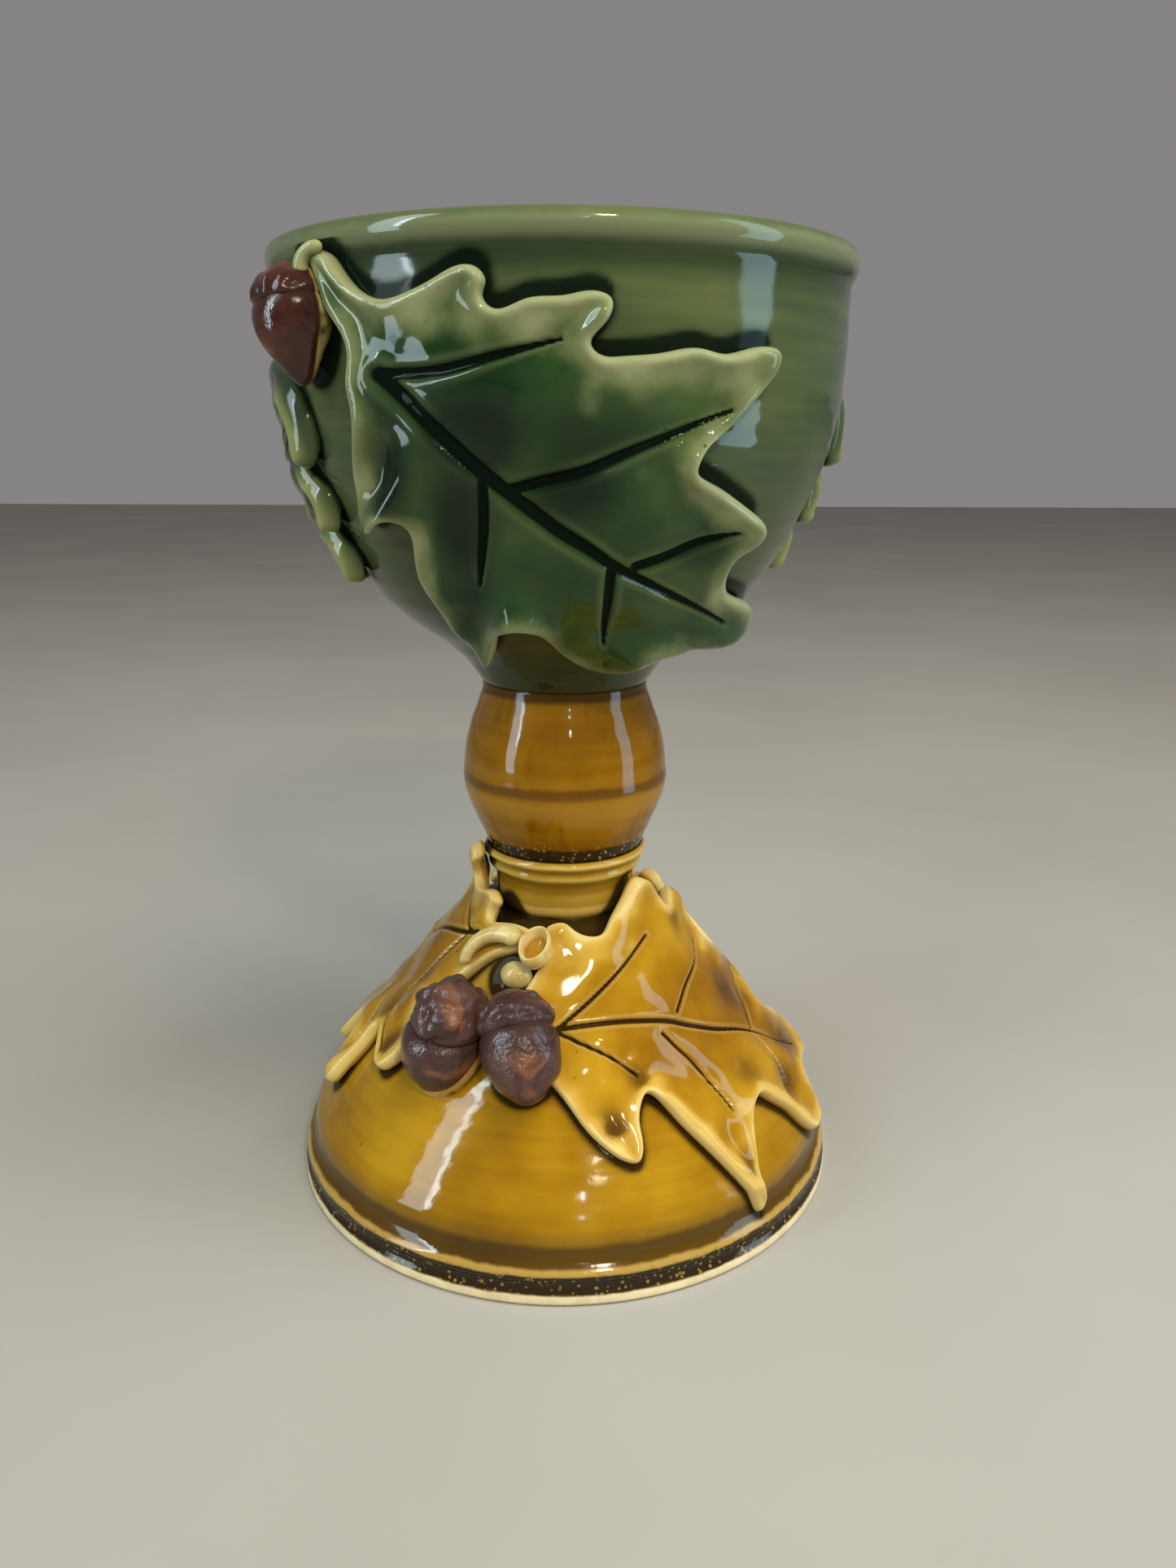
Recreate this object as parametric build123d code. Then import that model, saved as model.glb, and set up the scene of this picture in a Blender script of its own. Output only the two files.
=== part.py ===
from build123d import *
import math
import os

# Footed goblet in glazed stoneware: a thrown bowl, a hollow knop and a hollow
# cone foot, luted together, with modelled oak leaves and acorns laid on the
# bowl and on the foot. Millimetres, +Z up, origin at the centre of the ring
# that the foot stands on. Angles go round +Z, with 0 at -Y and 90 at +X.

# ---- driving dimensions ----
TOTAL_HEIGHT = 200.0
WAIST_HEIGHT = 114.2
COLLAR_HEIGHT = 77.0
WAIST_RADIUS = 18.1
COLLAR_RADIUS = 17.6
FOOT_RADIUS = 62.8
FOOT_BORE = 9.5
LIP_RADIUS = 58.6

BOWL_LEAF_THICKNESS = 3.2
FOOT_LEAF_THICKNESS = 2.8
VEIN_DEPTH = 0.8
VEIN_WIDTH = 1.1

SECOND_SIDE = 186.0
BACK_FOOT_LEAF_TURN = 120.2

# ---- wall lines, each from low to high as (radius, height) ----
BOWL_WALL = [
    (WAIST_RADIUS, WAIST_HEIGHT),
    (22.2, 119.7),
    (34.4, 129.0),
    (42.1, 137.0),
    (49.7, 150.5),
    (54.3, 161.5),
    (56.6, 173.0),
    (57.1, 184.0),
    (57.1, 192.5),
]
BOWL_LIP = [(57.1, 192.5), (57.6, 195.2), (LIP_RADIUS, 197.8), (56.4, TOTAL_HEIGHT)]
BOWL_INSIDE = [(0, 121.5), (14, 122.6), (27, 129.6), (38, 141), (46, 154), (50.8, 166), (52.7, 180), (53.2, 192)]

KNOP_WALL = [
    (COLLAR_RADIUS, COLLAR_HEIGHT),
    (18.8, 80.4),
    (22.0, 88.0),
    (22.9, 93.2),
    (22.1, 100.4),
    (19.4, 108.8),
    (WAIST_RADIUS, WAIST_HEIGHT),
]
KNOP_INSIDE = [(12.6, COLLAR_HEIGHT), (17.2, 87), (18.4, 93.2), (17.6, 100.4), (13.2, WAIST_HEIGHT)]

FOOT_BAND = [(FOOT_RADIUS, 0), (FOOT_RADIUS, 2.2), (62.0, 4.0), (62.1, 6.4), (60.6, 8.6), (59.4, 14.3)]
FOOT_CONE = [(59.4, 14.3), (51.2, 25.5), (40.6, 37.5), (30.2, 50.3), (21.8, 61.0), (16.0, 64.4)]
FOOT_NECK = [(16.0, 64.4), (14.6, 66.4), (16.2, 70.2), (17.5, 73.4), (18.5, 75.5), (COLLAR_RADIUS, COLLAR_HEIGHT)]
FOOT_INSIDE = [(57.2, 0), (54.0, 12.0), (40.5, 29.5), (27.0, 45.5), (16.0, 58.5), (FOOT_BORE, 66.5)]
# The leaves pass the top of the cone as a free edge that stands round the neck.
FOOT_LEAF_BACK = FOOT_CONE[:5] + [(18.0, 66.0), (17.4, 70.0), (19.0, 74.0)]

# ---- leaf outlines, in the plane that faces the leaf: (across, up) ----
FRONT_LEAF = [
    (-40.0, 192.6), (-36.0, 192.4), (-31.0, 187.8), (-24.5, 187.4), (-19.5, 189.3),
    (-13.0, 191.4), (-11.0, 189.0), (-10.7, 185.2), (-5.0, 186.1), (5.5, 187.3),
    (8.4, 185.0), (6.7, 181.8), (5.8, 178.8), (10.0, 177.9), (26.5, 178.8),
    (35.0, 179.4), (33.5, 173.2), (26.2, 165.8), (22.2, 161.5), (28.0, 157.0),
    (35.2, 151.2), (31.5, 145.2), (29.6, 140.0), (35.8, 134.8), (34.0, 130.6),
    (24.2, 127.7), (16.0, 127.6), (9.0, 123.3), (2.9, 124.9), (-2.5, 130.4),
    (-7.5, 135.2), (-11.0, 130.5), (-13.9, 125.6), (-19.0, 129.8), (-24.6, 139.5),
    (-25.6, 149.5), (-28.9, 154.0), (-34.6, 150.2), (-36.7, 158.0), (-35.9, 172.0),
    (-35.9, 180.4), (-39.0, 186.1),
]
FRONT_LEAF_VEINS = [
    [(-29.0, 175.2), (-13.2, 160.4), (9.0, 144.4), (29.0, 133.6)],
    [(-28.6, 175.6), (-10.7, 177.5), (0.7, 180.0)],
    [(-7.6, 157.1), (10.2, 162.5), (28.0, 169.9)],
    [(13.1, 144.0), (30.4, 150.2)],
    [(-12.5, 157.8), (-14.1, 140.1)],
    [(9.0, 143.4), (7.8, 129.2)],
]

HANGING_LEAF_SIDE = [
    (6.0, 179.4), (11.5, 178.0), (16.4, 174.8), (19.8, 170.4), (20.6, 165.6),
    (18.6, 161.2), (14.6, 160.6), (10.2, 163.0), (13.4, 158.8), (16.6, 156.0),
    (16.8, 151.8), (14.2, 148.9), (10.6, 149.8), (6.8, 152.6), (10.0, 148.2),
    (12.9, 145.0), (12.6, 141.2), (9.6, 138.9), (5.2, 140.0),
]
HANGING_LEAF = (
    [(0.0, 178.4)] + HANGING_LEAF_SIDE + [(0.0, 137.2)] + [(-x, z) for x, z in reversed(HANGING_LEAF_SIDE)]
)
HANGING_LEAF_VEINS = [
    [(0.0, 176.0), (-1.0, 160.0), (0.0, 142.0)],
    [(1.0, 172.0), (18.0, 165.0)],
    [(-1.0, 172.0), (-18.0, 165.0)],
]

FOOT_LEAF_RIGHT = [
    (-27.0, -10.0), (-20.0, -3.0), (-16.5, 2.4), (-13.4, 5.4), (-10.6, 2.8),
    (-6.8, 0.4), (-3.0, 3.0), (1.9, 7.8), (5.4, 10.4), (9.8, 8.8),
    (12.6, 3.4), (17.0, 5.6), (21.6, 5.2), (22.0, -3.0), (26.0, -9.0),
    (34.0, -10.0), (36.5, -18.0), (36.0, -26.0), (45.0, -30.0), (44.0, -40.0),
    (36.5, -43.0), (36.0, -50.0), (31.0, -55.5), (24.4, -50.6), (15.0, -44.0),
    (10.0, -47.0), (6.6, -55.0), (6.0, -64.0), (2.6, -61.6), (-3.6, -49.4),
    (-8.6, -39.6), (-12.4, -34.8), (-15.6, -39.6), (-18.0, -45.8), (-23.3, -41.5),
    (-26.2, -30.4), (-28.0, -20.0),
]
FOOT_LEAF_RIGHT_VEINS = [
    [(-21.7, -15.4), (1.6, -22.9), (23.9, -30.8), (38.0, -37.0)],
    [(-21.2, -15.2), (-6.2, -8.6), (3.8, -2.8)],
    [(3.0, -20.5), (15.9, -10.5), (21.0, -3.8)],
    [(-21.7, -16.3), (-11.7, -30.0)],
    [(-3.0, -24.1), (5.6, -43.7)],
    [(22.6, -31.6), (27.6, -44.4)],
]

FOOT_LEAF_LEFT = [
    (1.2, 10.6), (-2.8, 8.8), (-1.8, 6.2), (2.8, 7.1), (7.4, 7.8),
    (8.4, 2.6), (12.0, 3.6), (17.6, 5.6), (18.4, 2.4), (14.6, -5.0),
    (12.0, -15.0), (8.4, -23.0), (12.2, -31.0), (11.4, -38.2), (4.0, -35.6),
    (-1.0, -34.4), (-2.0, -44.0), (-4.0, -52.4), (-9.0, -48.0), (-13.0, -38.0),
    (-20.0, -42.0), (-27.0, -48.6), (-31.0, -42.0), (-31.0, -36.0), (-40.0, -37.0),
    (-42.0, -29.0), (-33.0, -23.0), (-35.0, -12.0), (-27.0, -9.0), (-22.0, -10.0),
    (-20.6, 0.0), (-15.0, 5.0), (-8.0, 6.6), (-4.4, 12.0),
]
FOOT_LEAF_LEFT_VEINS = [
    [(7.7, -2.2), (-5.6, -7.9), (-22.0, -18.0), (-36.0, -32.0)],
    [(5.6, -3.4), (3.1, -13.6), (-2.3, -29.9)],
    [(5.2, -3.2), (-6.0, -0.6), (-13.0, 1.0)],
    [(-14.0, -13.0), (-10.0, -30.0), (-6.0, -42.0)],
]


def facing_plane(turn, tilt, height, out=0.0):
    """Plane that looks outwards at the angle turn, tipped up by tilt degrees."""
    a = math.radians(turn)
    t = math.radians(tilt)
    outwards = Vector(math.sin(a) * math.cos(t), -math.cos(a) * math.cos(t), math.sin(t))
    across = Vector(math.cos(a), math.sin(a), 0)
    return Plane(origin=Vector(0, 0, height) + outwards * out, x_dir=across, z_dir=outwards)


def shifted(line, distance):
    """The points of a wall line moved outwards, each along the line's normal."""
    moved = []
    for i, (r, z) in enumerate(line):
        before = line[max(i - 1, 0)]
        after = line[min(i + 1, len(line) - 1)]
        dr, dz = after[0] - before[0], after[1] - before[1]
        length = math.hypot(dr, dz)
        moved.append((r + distance * dz / length, z - distance * dr / length))
    return moved


def spline_points(line):
    return [(r, 0, z) for r, z in line]


def turned(*wires_and_lines):
    """Solid of revolution of a closed section made of the given edges."""
    return revolve(make_face(Curve() + list(wires_and_lines)), Axis.Z, 360)


def filled(line):
    """Solid bounded by a wall line, closed to the axis at both ends."""
    low, high = line[0], line[-1]
    wall = Spline(*spline_points(line))
    top = Line((high[0], 0, high[1]), (0, 0, high[1]))
    axis = Line((0, 0, high[1]), (0, 0, low[1]))
    bottom = Line((0, 0, low[1]), (low[0], 0, low[1]))
    return turned(wall, top, axis, bottom)


def turn_about_axis(shape, degrees):
    return shape.rotate(Axis.Z, degrees)


def largest(shape):
    """The biggest solid of a shape, leaving out slivers that a cut leaves."""
    return max(shape.solids(), key=lambda solid: solid.volume)


# ---- thrown pieces ----
def make_bowl():
    wall = Spline(*spline_points(BOWL_WALL))
    lip = Spline(*spline_points(BOWL_LIP))
    inside = Spline(*spline_points(BOWL_INSIDE))
    rim_top = ThreePointArc((56.4, 0, TOTAL_HEIGHT), (54.2, 0, 198.4), (53.2, 0, 192))
    axis = Line((0, 0, 121.5), (0, 0, WAIST_HEIGHT))
    floor = Line((0, 0, WAIST_HEIGHT), (WAIST_RADIUS, 0, WAIST_HEIGHT))
    return turned(wall, lip, rim_top, inside, axis, floor)


def make_knop():
    wall = Spline(*spline_points(KNOP_WALL))
    inside = Spline(*spline_points(KNOP_INSIDE))
    top = Line((WAIST_RADIUS, 0, WAIST_HEIGHT), (KNOP_INSIDE[-1][0], 0, WAIST_HEIGHT))
    bottom = Line((KNOP_INSIDE[0][0], 0, COLLAR_HEIGHT), (COLLAR_RADIUS, 0, COLLAR_HEIGHT))
    return turned(wall, top, inside, bottom)


def make_foot():
    band = Polyline(*spline_points(FOOT_BAND))
    cone = Spline(*spline_points(FOOT_CONE))
    neck = Spline(*spline_points(FOOT_NECK))
    top = Line((COLLAR_RADIUS, 0, COLLAR_HEIGHT), (FOOT_BORE, 0, COLLAR_HEIGHT))
    bore = Line((FOOT_BORE, 0, COLLAR_HEIGHT), (FOOT_BORE, 0, FOOT_INSIDE[-1][1]))
    inside = Spline(*spline_points(FOOT_INSIDE))
    ring = Line((FOOT_INSIDE[0][0], 0, 0), (FOOT_RADIUS, 0, 0))
    return turned(band, cone, neck, top, bore, inside, ring)


# ---- leaves ----
def vein_strip(points):
    """Flat strip along a vein, tapering to a point at its far end."""
    strip = Sketch()
    steps = len(points) - 1
    for i, (start, end) in enumerate(zip(points, points[1:])):
        near = VEIN_WIDTH * (1 - 0.7 * i / steps) / 2
        far = VEIN_WIDTH * (1 - 0.7 * (i + 1) / steps) / 2
        length = math.hypot(end[0] - start[0], end[1] - start[1])
        nx, ny = (start[1] - end[1]) / length, (end[0] - start[0]) / length
        corners = [
            (start[0] + nx * near, start[1] + ny * near),
            (end[0] + nx * far, end[1] + ny * far),
            (end[0] - nx * far, end[1] - ny * far),
            (start[0] - nx * near, start[1] - ny * near),
        ]
        strip += make_face(Polyline(*corners, close=True))
    return strip


def make_leaf(plane, outline, veins, skin, groove_skin, core, reach):
    """Leaf pressed on a wall: its outline cut from the skin that lies over the wall."""
    blank = extrude(plane * make_face(Spline(*outline, periodic=True)), amount=reach, dir=plane.z_dir)
    leaf = largest((blank & skin) - core)
    for vein in veins:
        cut = extrude(plane * vein_strip(vein), amount=reach, dir=plane.z_dir)
        leaf = largest(leaf - (cut & groove_skin))
    return leaf


# ---- acorns ----
def make_nut(place, radius, length, flare=0.86):
    """Nut with a pointed tip. Its own Z runs from the tip towards the cap."""
    side = Spline(
        (0, 0, -length),
        (0.30 * radius, 0, -0.93 * length),
        (0.86 * radius, 0, -0.66 * length),
        (radius, 0, -0.34 * length),
        (flare * radius, 0, 0),
    )
    top = Line((flare * radius, 0, 0), (0, 0, 0))
    axis = Line((0, 0, 0), (0, 0, -length))
    return place * turned(side, top, axis)


def make_cap(place, radius, height, overlap):
    """Cup that sits on the nut, domed, with a rolled rim."""
    side = Spline(
        (0.80 * radius, 0, -overlap),
        (radius, 0, -0.25 * overlap),
        (0.94 * radius, 0, 0.42 * height),
        (0.52 * radius, 0, 0.88 * height),
        (0, 0, height),
    )
    axis = Line((0, 0, height), (0, 0, -overlap))
    rim = Line((0, 0, -overlap), (0.80 * radius, 0, -overlap))
    return place * turned(side, axis, rim)


def acorn_place(plane, across, up, out, lean, tip_out=0.0):
    """Plane whose Z is the acorn's axis: lean turns it, tip_out tips the cap off the wall."""
    centre = plane.from_local_coords(Vector(across, up, out))
    a = math.radians(lean)
    t = math.radians(tip_out)
    direction = plane.y_dir * (math.cos(a) * math.cos(t)) - plane.x_dir * (math.sin(a) * math.cos(t))
    direction += plane.z_dir * math.sin(t)
    return Plane(origin=centre, x_dir=plane.z_dir.cross(direction), z_dir=direction)


def make_stalk(plane, route, radius):
    """Short round stalk along an arc through three points of a facing plane."""
    points = [plane.from_local_coords(Vector(*point)) for point in route]
    arc = ThreePointArc(*points)
    section = Plane(origin=arc @ 0, z_dir=arc % 0) * Circle(radius)
    return sweep(section, path=arc)


def build_parts():
    parts = {}
    bowl = make_bowl()
    knop = make_knop()
    foot = make_foot()
    parts["bowl"] = bowl
    parts["knop"] = knop
    parts["foot"] = foot

    # Wall without its hollow, the skin over it, and the band that veins are cut to.
    bowl_core = filled(BOWL_WALL)
    bowl_skin = filled(shifted(BOWL_WALL, BOWL_LEAF_THICKNESS))
    bowl_grooves = filled(shifted(BOWL_WALL, BOWL_LEAF_THICKNESS + 2)) - filled(
        shifted(BOWL_WALL, BOWL_LEAF_THICKNESS - VEIN_DEPTH)
    )
    ahead = facing_plane(0, 0, 0, out=10)
    front_leaf = make_leaf(ahead, FRONT_LEAF, FRONT_LEAF_VEINS, bowl_skin, bowl_grooves, bowl_core, 70)
    left = facing_plane(-74, 0, 0, out=10)
    left_leaf = make_leaf(left, HANGING_LEAF, HANGING_LEAF_VEINS, bowl_skin, bowl_grooves, bowl_core, 70)

    # Bowl acorn, hanging cap up beside the front leaf's stalk.
    beside = facing_plane(-48, 0, 0)
    on_bowl = acorn_place(beside, 0, 188.4, 61.6, 4)
    nut = make_nut(on_bowl, 6.4, 14.0)
    cap = make_cap(on_bowl, 6.1, 5.6, 0.9)
    stalk = make_stalk(beside, [(2.4, 193.0, 61.8), (4.0, 196.6, 61.4), (7.6, 197.6, 59.8)], 1.0)
    bowl_body = bowl_core + bowl
    nut = largest(nut - bowl_body - left_leaf - front_leaf)
    cap = largest(cap - bowl_body - nut - front_leaf)
    stalk = largest(stalk - bowl_body - cap - front_leaf)
    parts["bowl_leaf_front"] = front_leaf
    parts["bowl_leaf_left"] = left_leaf
    parts["acorn_left_nut"] = nut
    parts["acorn_left_cap"] = cap
    parts["acorn_left_stalk"] = stalk
    second_group = {
        "bowl_leaf_back": front_leaf,
        "bowl_leaf_right": left_leaf,
        "acorn_right_nut": nut,
        "acorn_right_cap": cap,
        "acorn_right_stalk": stalk,
    }
    for name, shape in second_group.items():
        parts[name] = turn_about_axis(shape, SECOND_SIDE)

    # Foot leaves lie on the cone and stand up a little round the neck.
    foot_back = filled(FOOT_LEAF_BACK)
    foot_skin = filled(shifted(FOOT_LEAF_BACK, FOOT_LEAF_THICKNESS))
    foot_grooves = filled(shifted(FOOT_LEAF_BACK, FOOT_LEAF_THICKNESS + 2)) - filled(
        shifted(FOOT_LEAF_BACK, FOOT_LEAF_THICKNESS - VEIN_DEPTH)
    )
    foot_core = foot_back + foot
    right_side = facing_plane(38, 37, 45)
    left_side = facing_plane(-70, 37, 45)
    foot_right = make_leaf(
        right_side, FOOT_LEAF_RIGHT, FOOT_LEAF_RIGHT_VEINS, foot_skin, foot_grooves, foot_core, 60
    )
    foot_left = make_leaf(
        left_side, FOOT_LEAF_LEFT, FOOT_LEAF_LEFT_VEINS, foot_skin, foot_grooves, foot_core, 60
    )
    parts["foot_leaf_right"] = foot_right
    parts["foot_leaf_left"] = foot_left
    foot_back_leaf = turn_about_axis(foot_right, BACK_FOOT_LEAF_TURN)
    parts["foot_leaf_back"] = largest(foot_back_leaf - foot_right - foot_left)

    # Pair of acorns between the foot leaves, caps up and tipped off the wall.
    between = facing_plane(-24, 37, 45)
    leaves = foot_left + foot_right
    left_place = acorn_place(between, -9.0, -24.4, 33.4, -8, 42)
    right_place = acorn_place(between, 7.2, -19.4, 32.6, 18, 6)
    left_nut = largest(make_nut(left_place, 8.0, 14.0) - foot_core - leaves)
    left_cap = largest(make_cap(left_place, 8.4, 7.6, 2.0) - foot_core - leaves - left_nut)
    right_nut = largest(make_nut(right_place, 8.4, 16.5) - foot_core - leaves - left_nut - left_cap)
    right_cap = make_cap(right_place, 7.4, 4.6, 1.2) - foot_core - leaves - right_nut - left_nut - left_cap
    parts["foot_acorn_left_nut"] = left_nut
    parts["foot_acorn_left_cap"] = left_cap
    parts["foot_acorn_right_nut"] = right_nut
    parts["foot_acorn_right_cap"] = largest(right_cap)

    # Twig that ends in an empty acorn cup, and the bud beneath it.
    cup_place = acorn_place(between, 6.2, -4.0, 31.2, 0, 62)
    cup = make_cap(cup_place.rotated((180, 0, 0)), 4.3, 3.4, 1.0)
    cup_hollow = Pos(*(cup_place.origin + cup_place.z_dir * 2.6)) * Sphere(3.4)
    cup = largest(cup - cup_hollow - foot_core - leaves)
    twig = make_stalk(between, [(-10.2, -9.0, 30.6), (-6.2, -2.6, 32.0), (2.8, -2.4, 32.0)], 1.7)
    bud = Pos(*between.from_local_coords(Vector(1.8, -9.6, 28.7))) * Sphere(3.0)
    bud = largest(bud - foot_core - leaves - left_cap - right_nut)
    twig = largest(twig - cup - bud - foot_core - leaves - left_cap)
    parts["empty_acorn_cup"] = cup
    parts["twig"] = twig
    parts["bud"] = bud
    return parts


os.makedirs("parts", exist_ok=True)
for node, shape in build_parts().items():
    export_step(shape, f"parts/{node}.step")
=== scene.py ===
import math

import bpy
import numpy as np
from mathutils import Matrix, Vector
from mathutils.geometry import delaunay_2d_cdt


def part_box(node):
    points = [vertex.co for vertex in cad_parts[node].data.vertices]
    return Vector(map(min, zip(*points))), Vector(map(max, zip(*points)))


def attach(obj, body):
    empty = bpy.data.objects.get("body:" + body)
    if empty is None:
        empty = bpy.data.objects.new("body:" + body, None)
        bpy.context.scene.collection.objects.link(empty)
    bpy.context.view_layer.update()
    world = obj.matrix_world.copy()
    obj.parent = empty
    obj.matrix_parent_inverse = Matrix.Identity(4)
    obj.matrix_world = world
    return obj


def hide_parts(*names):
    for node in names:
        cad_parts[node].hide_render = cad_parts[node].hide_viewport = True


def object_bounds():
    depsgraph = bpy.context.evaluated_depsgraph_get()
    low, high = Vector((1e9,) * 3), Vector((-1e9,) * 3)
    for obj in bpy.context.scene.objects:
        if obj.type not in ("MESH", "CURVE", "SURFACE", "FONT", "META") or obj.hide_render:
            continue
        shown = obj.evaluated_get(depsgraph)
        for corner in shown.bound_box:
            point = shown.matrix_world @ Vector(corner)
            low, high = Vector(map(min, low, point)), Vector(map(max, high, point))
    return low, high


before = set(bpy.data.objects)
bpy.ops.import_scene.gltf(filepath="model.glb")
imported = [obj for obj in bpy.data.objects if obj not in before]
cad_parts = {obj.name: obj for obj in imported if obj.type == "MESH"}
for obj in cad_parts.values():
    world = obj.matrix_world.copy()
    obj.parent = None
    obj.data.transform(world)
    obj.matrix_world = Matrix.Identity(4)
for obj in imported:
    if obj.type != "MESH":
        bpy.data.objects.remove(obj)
cad_low, cad_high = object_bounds()

# Shapes are worked out in millimetres, in the frame's own axes, and written to meshes in metres.
# Angles go round +Z, with 0 at -Y, where the camera stands, and 90 at +X.
MM = 0.001

# ---- driving dimensions, as in the CAD ----
TOTAL_HEIGHT = cad_high.z / MM
FOOT_RADIUS = cad_high.x / MM
WAIST_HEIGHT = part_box("bowl")[0].z / MM
COLLAR_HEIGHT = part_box("knop")[0].z / MM
WAIST_RADIUS = 18.1
# Turns round the axis, in degrees, that carry copies to the far side.
SECOND_SIDE = 186.0
BACK_FOOT_LEAF_TURN = 120.2

# Wall lines as (radius, height), outsides from low to high and insides from high to low.
BOWL_WALL = [
    (WAIST_RADIUS, WAIST_HEIGHT), (22.2, 119.7), (34.4, 129.0), (42.1, 137.0), (49.7, 150.5),
    (54.3, 161.5), (56.6, 173.0), (57.1, 184.0), (57.1, 192.0),
]
BOWL_LIP = [
    (57.1, 192.0), (57.15, 193.6), (57.7, 195.0), (58.5, 196.8), (58.6, 198.4), (57.9, 199.6),
    (56.6, TOTAL_HEIGHT), (55.0, 199.7), (53.9, 198.4), (53.3, 195.5), (53.2, 192.0),
]
BOWL_INSIDE = [
    (53.2, 192.0), (52.7, 180.0), (50.8, 166.0), (46.0, 154.0), (38.0, 141.0), (27.0, 129.6), (14.0, 122.6),
    (0.0, 121.5),
]
KNOP_WALL = [
    (17.5, COLLAR_HEIGHT), (18.0, 78.4), (18.9, 80.6), (21.9, 87.6), (22.9, 92.6), (22.8, 94.6),
    (22.1, 100.4), (19.6, 108.6), (18.3, 112.6), (WAIST_RADIUS, WAIST_HEIGHT),
]
KNOP_INSIDE = [(13.2, WAIST_HEIGHT), (17.6, 100.4), (18.4, 93.2), (17.2, 87.0), (12.6, COLLAR_HEIGHT)]
FOOT_BAND = [
    (57.4, 0.5), (58.0, 0.0), (61.8, 0.0), (62.7, 0.5), (FOOT_RADIUS, 1.6), (62.7, 2.4), (62.1, 3.4),
    (61.9, 4.6), (62.3, 5.8), (62.2, 6.8), (61.5, 7.7), (60.5, 8.9), (60.0, 10.6), (59.8, 12.4), (59.4, 14.3),
]
FOOT_CONE = [(59.4, 14.3), (51.2, 25.5), (40.6, 37.5), (30.2, 50.3), (21.8, 60.6), (15.7, 62.1)]
FOOT_NECK = [
    (15.7, 62.1), (14.5, 62.3), (14.9, 63.1), (15.4, 64.5), (15.6, 67.0), (15.7, 69.2), (16.4, 71.2),
    (17.3, 72.2), (17.4, 72.9), (17.1, 73.7), (17.9, 74.8), (18.5, 75.6), (18.1, 76.5), (17.5, COLLAR_HEIGHT),
]
FOOT_INSIDE = [(9.5, 66.5), (16.0, 58.5), (27.0, 45.5), (40.5, 29.5), (54.0, 12.0)]
# The free edges of the foot's leaves pass the top of the cone and stand round the neck.
FOOT_LEAF_WALL = FOOT_CONE[:5] + [(18.4, 66.0), (17.6, 70.0), (18.6, 75.0)]

# ---- leaf outlines in the plane that faces the leaf: (across, up) ----
FRONT_LEAF = [
    (-40.2, 195.4), (-38.4, 195.2), (-35.2, 191.9), (-31, 187.8), (-27.5, 186.8), (-24, 187.5),
    (-19.5, 189.3), (-14.6, 191.3), (-12.2, 190.9), (-10.8, 188.6), (-11.4, 186.6), (-10.2, 185),
    (-5, 186.1), (1.2, 186.7), (6.1, 187.3), (8.4, 186), (8.2, 183.9), (6.5, 181.6), (5.3, 179.6),
    (6.4, 178.2), (10, 177.8), (16.8, 178.5), (22.6, 179.3), (26.6, 178.6), (31.5, 179.8), (35.1, 179.4),
    (35.2, 176.9), (33.4, 173.2), (30.1, 169.4), (26.2, 165.8), (22.6, 162.9), (22, 161), (23.6, 159.5),
    (27.9, 157.1), (32.5, 154), (35.2, 151), (34.4, 148.2), (31.3, 145), (29.8, 141.8), (30, 139),
    (33.3, 136.4), (36.2, 134.2), (34.9, 131.1), (29.5, 128.5), (24.2, 127.7), (16.3, 127.8), (13, 125.8),
    (10.6, 123.6), (7, 123), (2.9, 124.9), (-1.3, 128.8), (-4.4, 133.2), (-7.5, 135.2), (-10, 133.6),
    (-11.6, 129.6), (-13.9, 125.4), (-16.2, 127.8), (-19, 130), (-21.2, 133.8), (-23.2, 137.6),
    (-25, 141.6), (-25.2, 147.6), (-26, 151.6), (-28.2, 153.2), (-31, 150.8), (-33, 150),
    (-34.3, 153.6), (-34.6, 159.7), (-34.2, 165), (-34.1, 170.2), (-34.6, 174.6), (-34.2, 178.4),
    (-34.9, 181.4), (-37.6, 185.6), (-39.3, 190.6),
]
FRONT_LEAF_VEINS = [
    [(-29, 175.2), (-23.5, 169.7), (-13.2, 160.4), (0.4, 150), (9, 144.4), (18.5, 139.1), (29.4, 133.4)],
    [(-29.4, 175.4), (-19.3, 175.6), (-10.7, 177.5), (0.7, 180.2)],
    [(-7.6, 157.1), (3, 159.9), (10.2, 162.5), (17.2, 165.2), (28, 169.9)],
    [(13.1, 144), (19.1, 146.2), (30.4, 150.2)],
    [(-12.5, 158.6), (-12.9, 151.7), (-14.1, 140.1)],
    [(9, 144.2), (8.5, 137.2), (7.8, 129.2)],
]
# Places where the leaf leaves the wall: (across, up, reach across, reach up, lift).
FRONT_LEAF_RUFFLES = [
    (-29.5, 153, 3.4, 6, 4.6), (-7.6, 133.6, 3.6, 5.4, 4.8), (16, 127, 9, 4.2, 3.4), (30, 131, 7, 4.6, 3.8),
    (33.5, 151, 4, 5, 2), (23, 161.5, 4, 3.4, 2.4), (7.5, 183, 3, 4, 1.8), (34, 178, 4.5, 3.4, 1.4),
    (-36.5, 165, 2.6, 14, 1.6), (-12.5, 189.5, 3, 3, 1.2), (-13.5, 126.5, 2.6, 3.6, 2),
]
# Hollows pressed into the leaf, given the same way.
FRONT_LEAF_DENTS = [
    (-30, 160, 2.2, 8, 2.1), (-24, 146, 2, 6, 0.6), (14, 131.6, 6, 1.8, 0.8), (-3, 140, 3, 4, 0.4),
    (22, 166, 4, 2, 0.8),
]
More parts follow.
